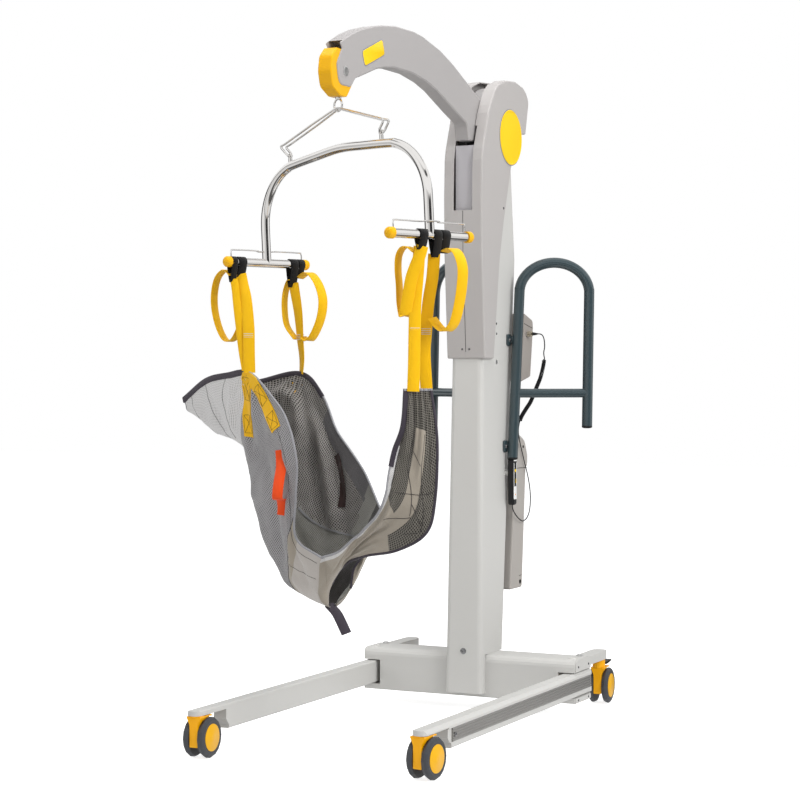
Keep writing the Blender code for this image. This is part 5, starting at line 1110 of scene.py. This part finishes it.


# Each panel's outer and inner material; the darkened net inside the head, back and flaps is painted shade for
# the sling's inside.
PANELS = (("net_pale", "net_shaded_inside"), ("net", "net_shaded_inside"), ("smooth", "lining"), ("taupe", "net_inner_pale"),
    ("net_leg", "net_shaded_inside"), ("net", "net_inner_pale"), ("net", "net_band"))
HEAD, BACK, SEAT, ROOT, LEG, LOW_BACK, SIDE_BAND = range(7)
PALE_EDGE = ((36, 58), (50, 66), (53, 78), (56, 86), (60, 95), (72, 110))


def pale_row(column):
    """The row at which the inner lining turns pale in the far half."""
    for (c0, r0), (c1, r1) in zip(PALE_EDGE, PALE_EDGE[1:]):
        if c0 <= column <= c1:
            return r0 + (r1 - r0) * (column - c0) / (c1 - c0)
    return PALE_EDGE[0][1]


def body_panel(row, column):
    """Which panel a part of the body belongs to; both halves have the same outer cloths."""
    folded = min(column, SLING_COLUMNS - 1 - column)
    if row < 35:
        return HEAD
    if row >= 97:
        return SEAT
    if row >= 88 + 0.25 * folded:
        return ROOT
    if column > SLING_COLUMNS // 2:
        if column > 65 and row > 52:
            return SIDE_BAND
        if row >= pale_row(column):
            return LOW_BACK
    return BACK


def flap_panel(row, column):
    """Which panel a part of a flap belongs to; columns run from its outer edge to its inner one."""
    if column < 4 and row < 76:
        return HEAD
    if column >= 23:
        return LEG if row > 44 else ROOT
    if column >= 14:
        return LEG if row > 84 else ROOT
    return LEG if row > 50 else ROOT


def relieved(rows, relief):
    """The base rows moved off their surface by the relief at each point."""
    moved = []
    for index, row in enumerate(rows):
        line = []
        for column, point in enumerate(row):
            line.append(point + grid_normal(rows, index, column) * relief(point, index, column))
        moved.append(line)
    return moved


def add_sling_cloth():
    """The sling's cloth in one sheet of real thickness, its panels told apart by material."""
    half = SLING_COLUMNS // 2
    body = relieved(sling_grid(), body_relief)
    grids = [body]
    for seed, flap in ((11.0, NEAR_FLAP), (23.0, FAR_FLAP)):
        base = flap_grid(flap)
        grids.append(relieved(base, lambda point, row, column, s=seed: flap_relief(point, row, column, s)))
    grids[1][0] = body[-1][:half]
    grids[2][0] = list(reversed(body[-1][half + 1:]))
    edit = bmesh.new()
    uv_layer = edit.loops.layers.uv.new("UVMap")
    made = {}

    def vertex(point):
        key = tuple(round(value, 6) for value in point)
        if key not in made:
            made[key] = edit.verts.new(sling_point(*point))
        return made[key]

    for number, grid in enumerate(grids):
        run = [0.0]
        middle = len(grid[0]) // 2
        for before, after in zip(grid, grid[1:]):
            run.append(run[-1] + (after[middle] - before[middle]).length)
        for row in range(len(grid) - 1):
            across = [0.0]
            for before, after in zip(grid[row], grid[row][1:]):
                across.append(across[-1] + (after - before).length)
            for column in range(len(grid[0]) - 1):
                corners = [(row, column), (row, column + 1), (row + 1, column + 1), (row + 1, column)]
                points = [vertex(grid[r][c]) for r, c in corners]
                if len(set(points)) < 4:
                    continue
                face = edit.faces.new(points)
                for loop, (r, c) in zip(face.loops, corners):
                    loop[uv_layer].uv = (across[c] - across[middle] + 0.7 * number, run[r])
                face.material_index = flap_panel(row, column) if number else body_panel(row, column)
    bmesh.ops.recalc_face_normals(edit, faces=edit.faces)
    near = min(edit.faces, key=lambda face: face.calc_center_median().y)
    if near.normal.y > 0:
        bmesh.ops.reverse_faces(edit, faces=edit.faces)
    area = sum(face.calc_area() for face in edit.faces)
    mesh = bpy.data.meshes.new("sling_base")
    edit.to_mesh(mesh)
    edit.free()
    for side in (0, 1):
        for pair in PANELS:
            mesh.materials.append(MATERIALS[pair[side]])
    base = put("sling_base", mesh)
    thick = base.modifiers.new("thickness", "SOLIDIFY")
    thick.thickness = CLOTH_THICKNESS
    thick.offset = 0
    thick.material_offset = len(PANELS)
    thick.material_offset_rim = 0
    cloth = baked(base, "sling_cloth")
    return cloth, area, grids


def baked(piece, name):
    """The piece as a plain mesh with its modifiers applied."""
    bpy.context.view_layer.update()
    graph = bpy.context.evaluated_depsgraph_get()
    mesh = bpy.data.meshes.new_from_object(piece.evaluated_get(graph))
    mesh.name = name
    mesh.shade_smooth()
    bpy.data.objects.remove(piece)
    return put(name, mesh)


def hang(piece):
    """The piece hangs from the spreader and sinks together when the boom goes right down."""
    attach(piece, "spreader")
    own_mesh(piece)
    return piece


def edge_line(grid, column):
    """One lengthwise line of a grid, in sling coordinates."""
    return [row[column] for row in grid]


def bind_edge(name, edge, inside, width, material, thickness=0.0052):
    """A binding folded over the cloth's edge: edge is its line, inside a line a little way in."""
    path = []
    widths = []
    for point, inner in zip(edge, inside):
        inward = (inner - point).normalized()
        path.append(sling_point(*(point + inward * (0.38 * width))))
        widths.append(sling_direction(*inward))
    return hang(tape(name, path, widths, width, thickness, material))


def on_cloth(grid, row, column, height, away):
    """A place above the cloth by a height, on the side that looks along away (-1 near, 1 far)."""
    row = min(max(row, 0.0), len(grid) - 1.001)
    column = min(max(column, 0.0), len(grid[0]) - 1.001)
    r, c = int(row), int(column)
    top = grid[r][c].lerp(grid[r][c + 1], column - c)
    low = grid[r + 1][c].lerp(grid[r + 1][c + 1], column - c)
    normal = Vector((0, 0, 0))
    for dr in (-2, 0, 2):
        for dc in (-2, 0, 2):
            at = (min(max(r + dr, 0), len(grid) - 1), min(max(c + dc, 0), len(grid[0]) - 1))
            normal += grid_normal(grid, *at)
    normal.normalize()
    if normal.x * away < 0:
        normal = -normal
    return top.lerp(low, row - r) + normal * height, normal


# Straps
def cloth_step(grid, row, column, rows, columns, away):
    """How far the cloth's surface goes for a step of some rows and columns about a place."""
    after, _ = on_cloth(grid, row + rows, column + columns, 0, away)
    before, _ = on_cloth(grid, row - rows, column - columns, 0, away)
    return (after - before) / 2


def sewn_strip(name, grid, route, width, material, away=-1, thickness=0.0022, boxes=()):
    """Webbing that follows the cloth along (row, column, height) places, with stitched boxes and crosses.

    Heights are above the cloth, and each box is a start and an end as shares of the strip's length.
    """
    route = smooth_path([(*place, 0.0)[:3] for place in route], 8)
    centres = [on_cloth(grid, place.x, place.y, 0, away)[0] for place in route]
    rings = []
    for position, direction in zip(route, tangents(centres)):
        row, column = position.x, position.y
        normal = on_cloth(grid, row, column, 0, away)[1]
        across = normal.cross(direction)
        by_row = cloth_step(grid, row, column, 1, 0, away)
        by_column = cloth_step(grid, row, column, 0, 1, away)
        a, b, c = by_row.dot(by_row), by_row.dot(by_column), by_column.dot(by_column)
        p, q = across.dot(by_row), across.dot(by_column)
        rows_out = (p * c - q * b) / (a * c - b * b)
        columns_out = (q * a - p * b) / (a * c - b * b)
        low = []
        high = []
        for share in (-0.5, -0.25, 0.0, 0.25, 0.5):
            point, face = on_cloth(grid, row + rows_out * share * width, column + columns_out * share * width,
                                   0, away)
            start = CLOTH_THICKNESS / 2 - 0.0003 + position.z
            low.append(sling_point(*(point + face * start)))
            high.append(sling_point(*(point + face * (start + thickness))))
        rings.append(low + list(reversed(high)))

    def on_top(along, across):
        """A place on the strip's face: along from 0 to 1, and across from 0 to 4."""
        ring = rings[round(along * (len(rings) - 1))]
        side = min(int(across), 3)
        return ring[9 - side].lerp(ring[8 - side], across - side)

    lines = []
    for start, end in boxes:
        corners = [(start, 0.5), (start, 3.5), (end, 3.5), (end, 0.5)]
        routes = [corners + corners[:1], [corners[0], corners[2]], [corners[1], corners[3]]]
        for number, corner_route in enumerate(routes):
            path = []
            for (a0, c0), (a1, c1) in zip(corner_route, corner_route[1:]):
                path += [on_top(a0 + (a1 - a0) * k / 6, c0 + (c1 - c0) * k / 6) for k in range(6)]
            path.append(on_top(*corner_route[-1]))
            lines.append(wire(f"{name}_stitch_{number}_{start}", path, 0.0005, "brown_thread"))
    if lines:
        hang(joined(name + "_stitches", lines))
    return hang(swept(name, rings, material, False, 50))


def seam(name, grid, route, away=-1, radius=0.0006):
    """A stitched line on the cloth along (row, column) places."""
    path = []
    for position in smooth_path([(*place, 0.0)[:3] for place in route], 8):
        point, _ = on_cloth(grid, position.x, position.y, CLOTH_THICKNESS / 2 + 0.2 * radius, away)
        path.append(sling_point(*point))
    return hang(wire(name, path, radius, "dark_thread"))


def hanging_tape(name, route, width, material, facing, thickness=0.0022, twist=0.0):
    """Webbing along a route of sling places; facing is the direction across its width, in plan."""
    path = evenly([sling_point(*point) for point in smooth_path(route, 10)], 0.005)
    across = []
    for index in range(len(path)):
        turn = twist * index / (len(path) - 1)
        across.append(sling_direction(facing[0] * cos(turn) - facing[1] * sin(turn),
                                      facing[0] * sin(turn) + facing[1] * cos(turn), 0.0))
    return hang(tape(name, path, across, width, thickness, material))


def bar_loop(name, along, side, width, drop):
    """A black webbing loop over a bar: round the tube and down to where its two runs are sewn."""
    middle = bar_point(0, side)
    radius = BAR_RADIUS + 0.0016
    path = []
    for step in range(15):
        angle = radians(-28) + radians(236) * step / 14
        path.append(Vector((along, middle.y + radius * cos(angle), middle.z + radius * sin(angle))))
    low = Vector((along, middle.y, middle.z - drop))
    first = [low + Vector((0, 0.0013, 0)), path[0].lerp(low, 0.45) + Vector((0, 0.0016, 0))]
    last = [path[-1].lerp(low, 0.45) - Vector((0, 0.0016, 0)), low - Vector((0, 0.0013, 0))]
    run = [sling_point(*point) for point in first + path + last]
    across = [sling_direction(1, 0, 0)] * len(run)
    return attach(tape(name, run, across, width, 0.002, "black_webbing"), "spreader")


def stitch_bars(name, start, width, facing):
    """Rows of stitching across a webbing's two faces, one below the other from a place down."""
    pieces = []
    facing = Vector((*facing, 0.0)).normalized()
    normal = Vector((-facing.y, facing.x, 0.0))
    for row in range(STITCH_ROWS):
        for face in (-1, 1):
            middle = Vector(start) - Vector((0, 0, STITCH_SPACING * row)) + normal * (0.0016 * face)
            ends = [sling_point(*(middle + facing * (0.4 * width * sign))) for sign in (-1, 1)]
            pieces.append(wire("stitches", ends, 0.0008, "thread"))
    return hang(joined(name, pieces))


# Strap routes: distance along the bars, distance across, height
CAMERA_WIDTH = (0.764, 0.645)
STITCH_ROWS = 4
STITCH_SPACING = 0.0042
NEAR_MAIN = ((-0.086, -0.2718, 1.17), (-0.086, -0.264, 1.145), (-0.086, -0.25, 1.105),
    (-0.088, -0.237, 1.038), (-0.09, -0.233, 0.982), (-0.094, -0.226, 0.926))
NEAR_SECOND = ((-0.107, -0.2718, 1.157), (-0.106, -0.266, 1.13), (-0.106, -0.26, 1.091),
    (-0.103, -0.254, 1.038), (-0.1, -0.247, 0.982), (-0.098, -0.236, 0.932))
NEAR_LOOP = ((-0.108, -0.276, 1.165), (-0.108, -0.302, 1.18), (-0.108, -0.334, 1.163),
    (-0.108, -0.349, 1.127), (-0.106, -0.351, 1.085), (-0.104, -0.336, 1.039), (-0.1, -0.313, 1.007),
    (-0.096, -0.287, 1.008), (-0.094, -0.262, 1.038))
FAR_MAIN = ((0.082, -0.2718, 1.152), (0.084, -0.256, 1.079), (0.086, -0.25, 1.01), (0.088, -0.246, 0.963),
    (0.09, -0.251, 0.924))
FAR_LEFT_LOOP = ((0.08, -0.272, 1.16), (0.08, -0.287, 1.157), (0.08, -0.302, 1.127), (0.08, -0.305, 1.088),
    (0.08, -0.295, 1.045), (0.083, -0.262, 1.01))
FAR_RIGHT_LOOP = ((0.103, -0.274, 1.165), (0.103, -0.237, 1.178), (0.103, -0.204, 1.155),
    (0.103, -0.183, 1.116), (0.102, -0.183, 1.078), (0.1, -0.198, 1.04), (0.096, -0.223, 1.008),
    (0.089, -0.244, 1.015))
RIGHT_NEAR_MAIN = ((-0.028, 0.3192, 1.214), (-0.03, 0.314, 1.144), (-0.034, 0.311, 1.083),
    (-0.04, 0.315, 1.013), (-0.046, 0.32, 0.946), (-0.05, 0.3215, 0.884))
RIGHT_FAR_MAIN = ((0.017, 0.3192, 1.198), (0.018, 0.312, 1.145), (0.02, 0.296, 1.085), (0.024, 0.283, 1.014),
    (0.027, 0.276, 0.968), (0.03, 0.28, 0.88))
RIGHT_FRONT_RUN = ((-0.027, 0.3268, 1.214), (-0.0345, 0.3246, 1.189), (-0.0455, 0.3123, 1.145),
    (-0.05, 0.3044, 1.099), (-0.052, 0.2984, 1.066), (-0.051, 0.2965, 1.058))
RIGHT_FRONT_LOOP = ((-0.051, 0.2955, 1.06), (-0.046, 0.286, 1.056), (-0.041, 0.272, 1.066),
    (-0.038, 0.263, 1.09), (-0.038, 0.261, 1.127), (-0.038, 0.257, 1.161), (-0.038, 0.259, 1.192),
    (-0.036, 0.271, 1.211), (-0.034, 0.289, 1.213), (-0.03, 0.308, 1.2))
RIGHT_LOOP = ((0.043, 0.3268, 1.203), (0.043, 0.337, 1.207), (0.042, 0.355, 1.209), (0.04, 0.376, 1.195),
    (0.038, 0.391, 1.164), (0.036, 0.391, 1.125), (0.034, 0.384, 1.082), (0.032, 0.37, 1.04),
    (0.029, 0.348, 1.022), (0.026, 0.328, 1.03), (0.023, 0.305, 1.052))
NEAR_HANDLE = ((-0.117, -0.076, 0.742), (-0.118, -0.072, 0.722), (-0.126, -0.062, 0.7),
    (-0.14, -0.052, 0.672), (-0.149, -0.047, 0.642), (-0.148, -0.048, 0.627), (-0.136, -0.053, 0.626),
    (-0.124, -0.062, 0.622), (-0.117, -0.067, 0.604), (-0.116, -0.07, 0.586))


def add_left_straps():
    """The two shoulder straps from the left bar, each with its spare length loops."""
    for name, route, width, facing in (
            ("strap_shoulder_near", NEAR_MAIN, 0.029, CAMERA_WIDTH),
            ("strap_shoulder_near_second", NEAR_SECOND, 0.019, CAMERA_WIDTH),
            ("spare_shoulder_near", NEAR_LOOP, 0.026, (0.98, -0.2)),
            ("strap_shoulder_far", FAR_MAIN, 0.026, (0.55, 0.83)),
            ("spare_shoulder_far_left", FAR_LEFT_LOOP, 0.024, (0.98, -0.2)),
            ("spare_shoulder_far_right", FAR_RIGHT_LOOP, 0.026, (0.98, 0.2))):
        twist = radians(55) if route is FAR_MAIN else 0.0
        hanging_tape(name, route, width, "webbing", facing, twist=twist)
    for name, along, width, drop in (("near", -0.083, 0.024, 0.036), ("near_end", -0.108, 0.018, 0.05),
                                     ("far", 0.081, 0.024, 0.058), ("far_end", 0.104, 0.018, 0.03)):
        bar_loop("bar_loop_shoulder_" + name, along, -1, width, drop)
    stitch_bars("stitches_shoulder_near", (-0.089, -0.2365, 1.022), 0.029, CAMERA_WIDTH)
    stitch_bars("stitches_shoulder_far", (0.086, -0.2495, 1.022), 0.024, (0.55, 0.83))


def add_right_straps():
    """The two thigh straps from the right bar, with their long length loops."""
    for name, route, width, facing in (
            ("strap_thigh_near", RIGHT_NEAR_MAIN, 0.028, CAMERA_WIDTH),
            ("strap_thigh_far", RIGHT_FAR_MAIN, 0.028, CAMERA_WIDTH),
            ("spare_thigh_front", RIGHT_FRONT_RUN, 0.028, CAMERA_WIDTH),
            ("spare_thigh_near", RIGHT_FRONT_LOOP, 0.028, (0.97, -0.24)),
            ("spare_thigh_far", RIGHT_LOOP, 0.028, (0.97, 0.24))):
        hanging_tape(name, route, width, "webbing", facing)
    for name, along, drop in (("near", -0.027, 0.034), ("middle", 0.017, 0.05), ("far", 0.043, 0.04)):
        bar_loop("bar_loop_thigh_" + name, along, 1, 0.024, drop)
    stitch_bars("stitches_thigh_near", (-0.038, 0.3135, 1.028), 0.028, CAMERA_WIDTH)
    stitch_bars("stitches_thigh_far", (0.0235, 0.2845, 1.028), 0.028, CAMERA_WIDTH)


def add_sewn_pieces(body, near_flap, far_flap):
    """Strips, handles and seams sewn to the cloth; the far side has the near side's strips too."""
    last = SLING_COLUMNS
    pieces = []
    for side, away in (("near", -1), ("far", 1)):
        def at(row, column, height=0.0, away=away):
            return (row, column if away < 0 else last - column, height)

        upright = [at(35, 0.2), at(36, 6), at(38, 12), at(40, 15), at(43, 18)]
        sewn_strip("strip_vertical_" + side, body, upright, 0.044, "webbing", away,
                   boxes=((0.12, 0.42), (0.62, 0.95)))
        slanted = [at(37, 0.6, 0.0018), at(40, 3.0, 0.0014), at(45, 4.2), at(52, 5.0), at(58, 5.4)]
        sewn_strip("strip_slant_" + side, body, slanted, 0.034, "webbing", away, 0.0024,
                   ((0.3, 0.55), (0.72, 0.96)))
        for number, route in enumerate((
                [(4, 5), (6, 16), (9, 26), (14, 34)], [(12, 3), (14, 12), (18, 22), (22, 32)],
                [(23, 3), (22, 12), (25, 20), (28, 28)])):
            route = [at(*spot) for spot in route]
            pieces.append(seam(f"head_quilting_{side}_{number}", body, route, away))
        for name, radius, route in (
                ("hem_line_", 0.0006, ((46, 5), (64, 5), (86, 5), (98, 5), (107, 5))),
                ("seat_line_", 0.0008, ((88, 0.5), (91, 12), (94, 24), (97, 34))),
                ("taupe_line_", 0.0006, ((91, 13), (98, 13), (107, 13)))):
            pieces.append(seam(name + side, body, [at(*spot) for spot in route], away, radius))
    hanging_tape("handle_near", NEAR_HANDLE, 0.027, "orange_webbing", (0.5, 0.866), 0.0026)
    pale_edge = [(pale_row(column), column) for column in (50, 52, 54, 56, 58, 60)]
    far_grip = [(64, 63), (68, 62.5, 0.003), (73, 62.5, 0.007), (77, 62.5, 0.003), (80, 62)]
    inner_far = [(66, 66, 0.001), (72, 65, 0.006), (77, 63, 0.006), (82, 60, 0.001)]
    inner_near = [(66, 6, 0.001), (72, 7, 0.006), (77, 9, 0.006), (82, 12, 0.001)]
    for name, route, width, material, away in (("handle_far", far_grip, 0.026, "orange_webbing", 1),
                                               ("pale_edge", pale_edge, 0.0045, "grey_binding", -1),
                                               ("inner_handle_far", inner_far, 0.021, "brown_webbing", -1),
                                               ("inner_handle_near", inner_near, 0.021, "brown_webbing", 1)):
        sewn_strip(name, body, route, width, material, away)
    for side, away, flap in (("near", -1, near_flap), ("far", 1, far_flap)):
        for number, route in enumerate((
                [(56, 5), (65, 18), (74, 34)], [(44, 11), (51, 17), (58, 23)], [(52, 27), (57, 31)],
                [(84, 12), (73, 12), (66, 17), (58, 22)], [(84, 22), (75, 22), (66, 27), (58, 32)],
                [(95, 3), (84, 4), (70, 4), (58, 4)], [(95, 12), (90, 12), (85, 12)],
                [(95, 24), (90, 24), (85, 23)], [(78, 14), (76, 21)], [(62, 20), (60, 30)])):
            pieces.append(seam(f"flap_seam_{side}_{number}", flap, route, away, 0.0008))
    return pieces


def add_tail():
    """The dark pull strap that hangs from the seat's point."""
    route = ((0.0, -0.036, 0.366), (0.0, -0.024, 0.359), (0.0, -0.006, 0.347), (0.0, 0.008, 0.331),
             (0.0, 0.021, 0.314), (0.0, 0.03, 0.302))
    return hanging_tape("tail_strap", route, 0.025, "binding", CAMERA_WIDTH)


def add_sling():
    """The cloth, its bindings, sewn strips, handles and straps."""
    cloth, area, grids = add_sling_cloth()
    body, near_flap, far_flap = grids
    hang(cloth)
    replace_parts(cloth, "sling_body")
    bindings = []
    strap_row = 36
    for name, column, inner, rows, width, material in (
            ("binding_near_head", 0, 2, body[:strap_row], 0.016, "binding"),
            ("binding_near_side", 0, 1, body[strap_row - 1:], 0.0045, "grey_binding"),
            ("binding_far_head", -1, -3, body[:strap_row + 14], 0.012, "binding"),
            ("binding_far_side", -1, -2, body[strap_row + 13:], 0.0045, "grey_binding")):
        bindings.append(bind_edge(name, edge_line(rows, column), edge_line(rows, inner), width, material))
    bindings.append(bind_edge("binding_head_end", body[0], body[1], 0.0045, "grey_binding", thickness=0.0036))
    for name, grid in (("near", near_flap), ("far", far_flap)):
        for part, column, inner, rows, width, material in (
                ("piping_flap_", 0, 1, grid[:66], 0.0045, "grey_binding"),
                ("binding_flap_outer_", 0, 3, grid[65:], 0.012, "binding"),
                ("binding_flap_inner_", -1, -3, grid[12:], 0.0065, "binding")):
            edge = edge_line(rows, column)
            bindings.append(bind_edge(part + name, edge, edge_line(rows, inner), width, material))
        bindings.append(bind_edge("binding_flap_top_" + name, grid[-1], grid[-3], 0.006, "grey_binding"))
    bindings += add_sewn_pieces(body, near_flap, far_flap)
    bindings.append(add_tail())
    width = sum((after - before).length for before, after in zip(body[40], body[40][1:]))
    print(f"sling cloth area {area:.3f} m2, width {width:.3f}")


# Small details
def turned_piece(name, profile, where, axis, material, body, steps):
    """A turned piece that rides a body."""
    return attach(turned(name, profile, where, axis, material, steps), body)


def add_boom_plate():
    """The bare yellow plate with a thin dark edge on the boom's seen side."""
    corners = [Vector((-0.668, 1.708)), Vector((-0.56, 1.7515)), Vector((-0.552, 1.7155)),
               Vector((-0.66, 1.671))]
    middle = sum(corners, Vector((0, 0))) / 4
    along = (corners[1] - corners[0]).normalized()
    half_width = (corners[1] - corners[0]).length / 2
    half_height = 0.0185
    for name, margin, corner, thickness, material in (("boom_plate_edge", 0.002, 0.01, 0.0007, "label_edge"),
                                                      ("boom_plate", 0.0, 0.008, 0.0011, "yellow_label")):
        outline = rounded_outline(half_width + margin, half_height + margin, corner)
        face = plate(name, outline, place(BOOM_SIDE, middle.x, middle.y), (0, along.x, along.y),
                     (0, -along.y, along.x), thickness, material, 0.0003)
        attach(face, "boom")


def add_pivot_badge():
    """The round yellow badge over the boom's pivot, domed with a narrow rim."""
    where = place(COVER_SIDE, *PIVOT)
    radius = 0.0765
    edge = [(radius + 0.002, -0.0002), (radius + 0.002, 0.0008), (0, 0.0008)]
    badge = [(radius, -0.0002), (radius, 0.0016), (radius - 0.001, 0.0026), (radius - 0.0035, 0.0026),
             (radius - 0.0045, 0.0019), (radius - 0.007, 0.0019), (radius * 0.6, 0.003),
             (radius * 0.3, 0.0036), (0, 0.0038)]
    turned_piece("pivot_badge_edge", edge, where, (1, 0, 0), "label_edge", "base", 72)
    turned_piece("pivot_badge", badge, where, (1, 0, 0), "yellow_label", "base", 72)


def mast_half(z):
    """Half the mast's width at a height."""
    return MAST_HALF_FOOT - MAST_HALF_SLOPE * (z - MAST_FOOT)


def screw_pair(name, where, radius, head, body="base"):
    """The same screw on the left and the right; {} in a name stands for the side."""
    x, y, z = where
    for side, label in SIDES:
        screw(name.format(label), place(side * x, y, z), (side, 0, 0), body.format(label), radius, head)


def add_upper_screws():
    """The screws in the covers and the mast's sides, and the large bolt in the mast's front."""
    for side, label in SIDES:
        screw("cover_front_screw_" + label, place(side * 0.0105, -0.01, 0.99), (0, -1, 0.02), "base", 0.0032,
              0.0012)
        screw("cover_side_screw_" + label, place(side * COVER_SIDE, 0.12, 1.382), (side, 0, 0), "base", 0.004,
              0.0012)
    for index, (y, z) in enumerate(((0.0975, 1.0615), (0.0985, 1.0335))):
        screw_pair("mast_side_screw_%d_{}" % index, (mast_half(z), y, z), 0.0034, 0.0014)
    front = MAST_FRONT_FOOT + MAST_FRONT_SLOPE * (MAST_BOLT_Z - MAST_FOOT)
    screw("mast_front_bolt", place(0, front, MAST_BOLT_Z), (0, -1, 0), "base", 0.0085, 0.003)


def add_lower_screws():
    """The screws in the beam's end plates and by the front ends of the legs' bumper strips."""
    for side, label in SIDES:
        for index, (y, z) in enumerate(((0.022, 0.135), (0.098, 0.135), (0.022, 0.046), (0.098, 0.046))):
            screw(f"end_plate_screw_{label}_{index}", place(side * END_PLATE_FACE, y, z), (side, 0, 0),
                  "base",
                  0.0036, 0.0014)
    screw_pair("leg_strip_screw_{}", (0.3195, -0.779, 0.0865), 0.0048, 0.0018, "leg_{}")


def add_clamp_brackets():
    """The bracket and bolt that hold each of the handles' stubs to the mast's side."""
    for side, name in SIDES:
        for index, z in enumerate(HANDLE_CLAMPS):
            seat = side * (mast_half(z) + 0.0006)
            y = handle_inner_y(z) - 0.011
            bracket = plate(f"clamp_bracket_{name}_{index}", rounded_outline(0.013, 0.0165, 0.007),
                            place(seat, y, z), (0, side, 0), UP, BRACKET_THICKNESS, "handle", 0.002)
            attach(bracket, "base")
            screw(f"clamp_bolt_{name}_{index}", place(seat + side * BRACKET_THICKNESS, y - 0.003, z),
                  (side, 0, 0),
                  "base", 0.0058, 0.004)


def add_boom_tip():
    """The bolt head through the boom's tip on both sides."""
    profile = [(0.0125, -0.0003), (0.0125, 0.0008), (0.0115, 0.0014), (0.0085, 0.0014), (0.0078, 0.0006),
               (0, 0.0006)]
    for side, name in SIDES:
        turned_piece("boom_tip_bolt_" + name, profile, place(side * BOOM_SIDE, *NOSE_PIVOT), (side, 0, 0),
                     "steel",
                     "boom", 40)


def add_handle_plugs():
    """The black end plug below each of the handles' two tubes."""
    profile = [(0.0138, -0.003), (0.0146, -0.0006), (0.0146, 0.003), (0.012, 0.0052), (0.006, 0.0062),
               (0, 0.0064)]
    for side, name in SIDES:
        for label, x, y, z in (("outer", HANDLE_OUTER_X, handle_outer_y(HANDLE_OUTER_LOW), HANDLE_OUTER_LOW),
                               ("inner", HANDLE_X, handle_inner_y(HANDLE_INNER_LOW), HANDLE_INNER_LOW)):
            turned_piece(f"handle_plug_{name}_{label}", profile, place(side * x, y, z), (0, 0, -1), "black",
                         "base", 32)


def handset_mark(name, outline, across, height, thickness, material, lift=0.0, body="base"):
    """A thin plate on the handset's front, or a little in front of it."""
    where = place(HANDSET_FRONT + lift, HANDSET_Y + across, height)
    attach(plate(name, outline, where, (0, 1, 0), UP, thickness, material), body)


def add_handset_details():
    """The white strips round the keys, the stop's stripe and an orange dot."""
    for label, height, half in (("low", 0.59, 0.018), ("high", 0.6808, 0.0026)):
        handset_mark("handset_strip_" + label, rounded_outline(0.0105, half, 0.0025), 0, height, 0.0005,
                     "white")
    for label, across in (("front", -0.0092), ("rear", 0.0092)):
        handset_mark("handset_side_" + label, rounded_outline(0.0014, 0.034, 0.0012), across, 0.64, 0.0005,
                     "white")
    handset_mark("stop_stripe", rounded_outline(0.0016, 0.006, 0.001), 0, 0.623, 0.0004, "yellow_label",
                 0.0022,
                 "key_stop")
    dot = [(0.0022 * cos(2 * pi * step / 20), 0.0022 * sin(2 * pi * step / 20)) for step in range(20)]
    handset_mark("handset_dot", dot, 0, 0.585, 0.0008, "orange")


def add_caster_discs():
    """The flat yellow disc in each wheel's outer face, with the axle's head."""
    profile = [(0.033, 0.0), (0.033, 0.001), (0.0315, 0.0016), (0.012, 0.0012), (0.01, 0.0022),
               (0.0045, 0.0026), (0, 0.0026)]
    for name, heading in CASTER_HEADINGS.items():
        end, side = name.split("_")
        x, y = FRONT_SWIVEL if end == "front" else REAR_SWIVEL
        x = -x if side == "left" else x
        turn = radians(heading)
        centre = Vector((x - WHEEL_TRAIL * sin(turn), y + WHEEL_TRAIL * cos(turn), WHEEL_RADIUS))
        axle = Vector((cos(turn), sin(turn), 0))
        for face, label in SIDES:
            where = place(*(centre + axle * (face * (WHEEL_OUTER - 0.0012))))
            turned_piece(f"wheel_disc_{name}_{label}", profile, where, axle * face, "yellow",
                         "wheels_" + name, 40)


def add_box_seams():
    """The parting lines on the sides of the control box and the battery, as thin dark inlays."""
    for side, label in SIDES:
        for name, body, x, line in (
                ("control_seam_", "base", 0.0752, ((0.2245, 1.0645), (0.25, 1.059), (0.286, 1.0525))),
                ("battery_seam_", "battery", 0.0572, ((0.215, 0.656), (0.26, 0.655), (0.29, 0.6545)))):
            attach(wire(name + label, [place(side * x, y, z) for y, z in line], 0.0007, "dark"), body)


def add_battery_details():
    """The battery's charging socket, vent dots and latch on its seen side."""
    socket = [(0.0062, -0.0004), (0.0062, 0.0008), (0.005, 0.001), (0.0046, 0.0002), (0, 0.0002)]
    turned_piece("battery_socket", socket, place(0.0572, 0.24, 0.333), (1, 0, 0), "dark", "battery", 28)
    dots = []
    for index in range(5):
        where = place(0.0571, 0.234 + 0.0042 * index, 0.35 + 0.0004 * index)
        dots.append(turned("vent", [(0.0011, -0.0003), (0.0011, 0.0003), (0, 0.0003)], where, (1, 0, 0),
                           "dark", 12))
    vents = joined("battery_vents", dots)
    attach(vents, "battery")
    latch = [(0.004, -0.0004), (0.004, 0.001), (0.003, 0.0014), (0, 0.0014)]
    turned_piece("battery_latch", latch, place(0.0571, 0.262, 0.715), (1, 0, 0), "dark", "battery", 24)


add_camera()
add_cord()
add_world()
add_floor()
add_lights()
dress_nodes()
add_spreader()
add_push_handles()
add_cover_seam()
add_sling()
add_left_straps()
add_right_straps()
add_boom_plate()
add_pivot_badge()
add_upper_screws()
add_clamp_brackets()
add_lower_screws()
add_boom_tip()
add_handle_plugs()
add_handset_details()
add_caster_discs()
add_box_seams()
add_battery_details()

replaced = {"sling_strap_shoulder_left": "strap_shoulder_near",
            "sling_strap_shoulder_right": "strap_shoulder_far",
            "sling_strap_thigh_left": "strap_thigh_near", "sling_strap_thigh_right": "strap_thigh_far"}
for node, piece in replaced.items():
    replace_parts(bpy.data.objects[piece], node)
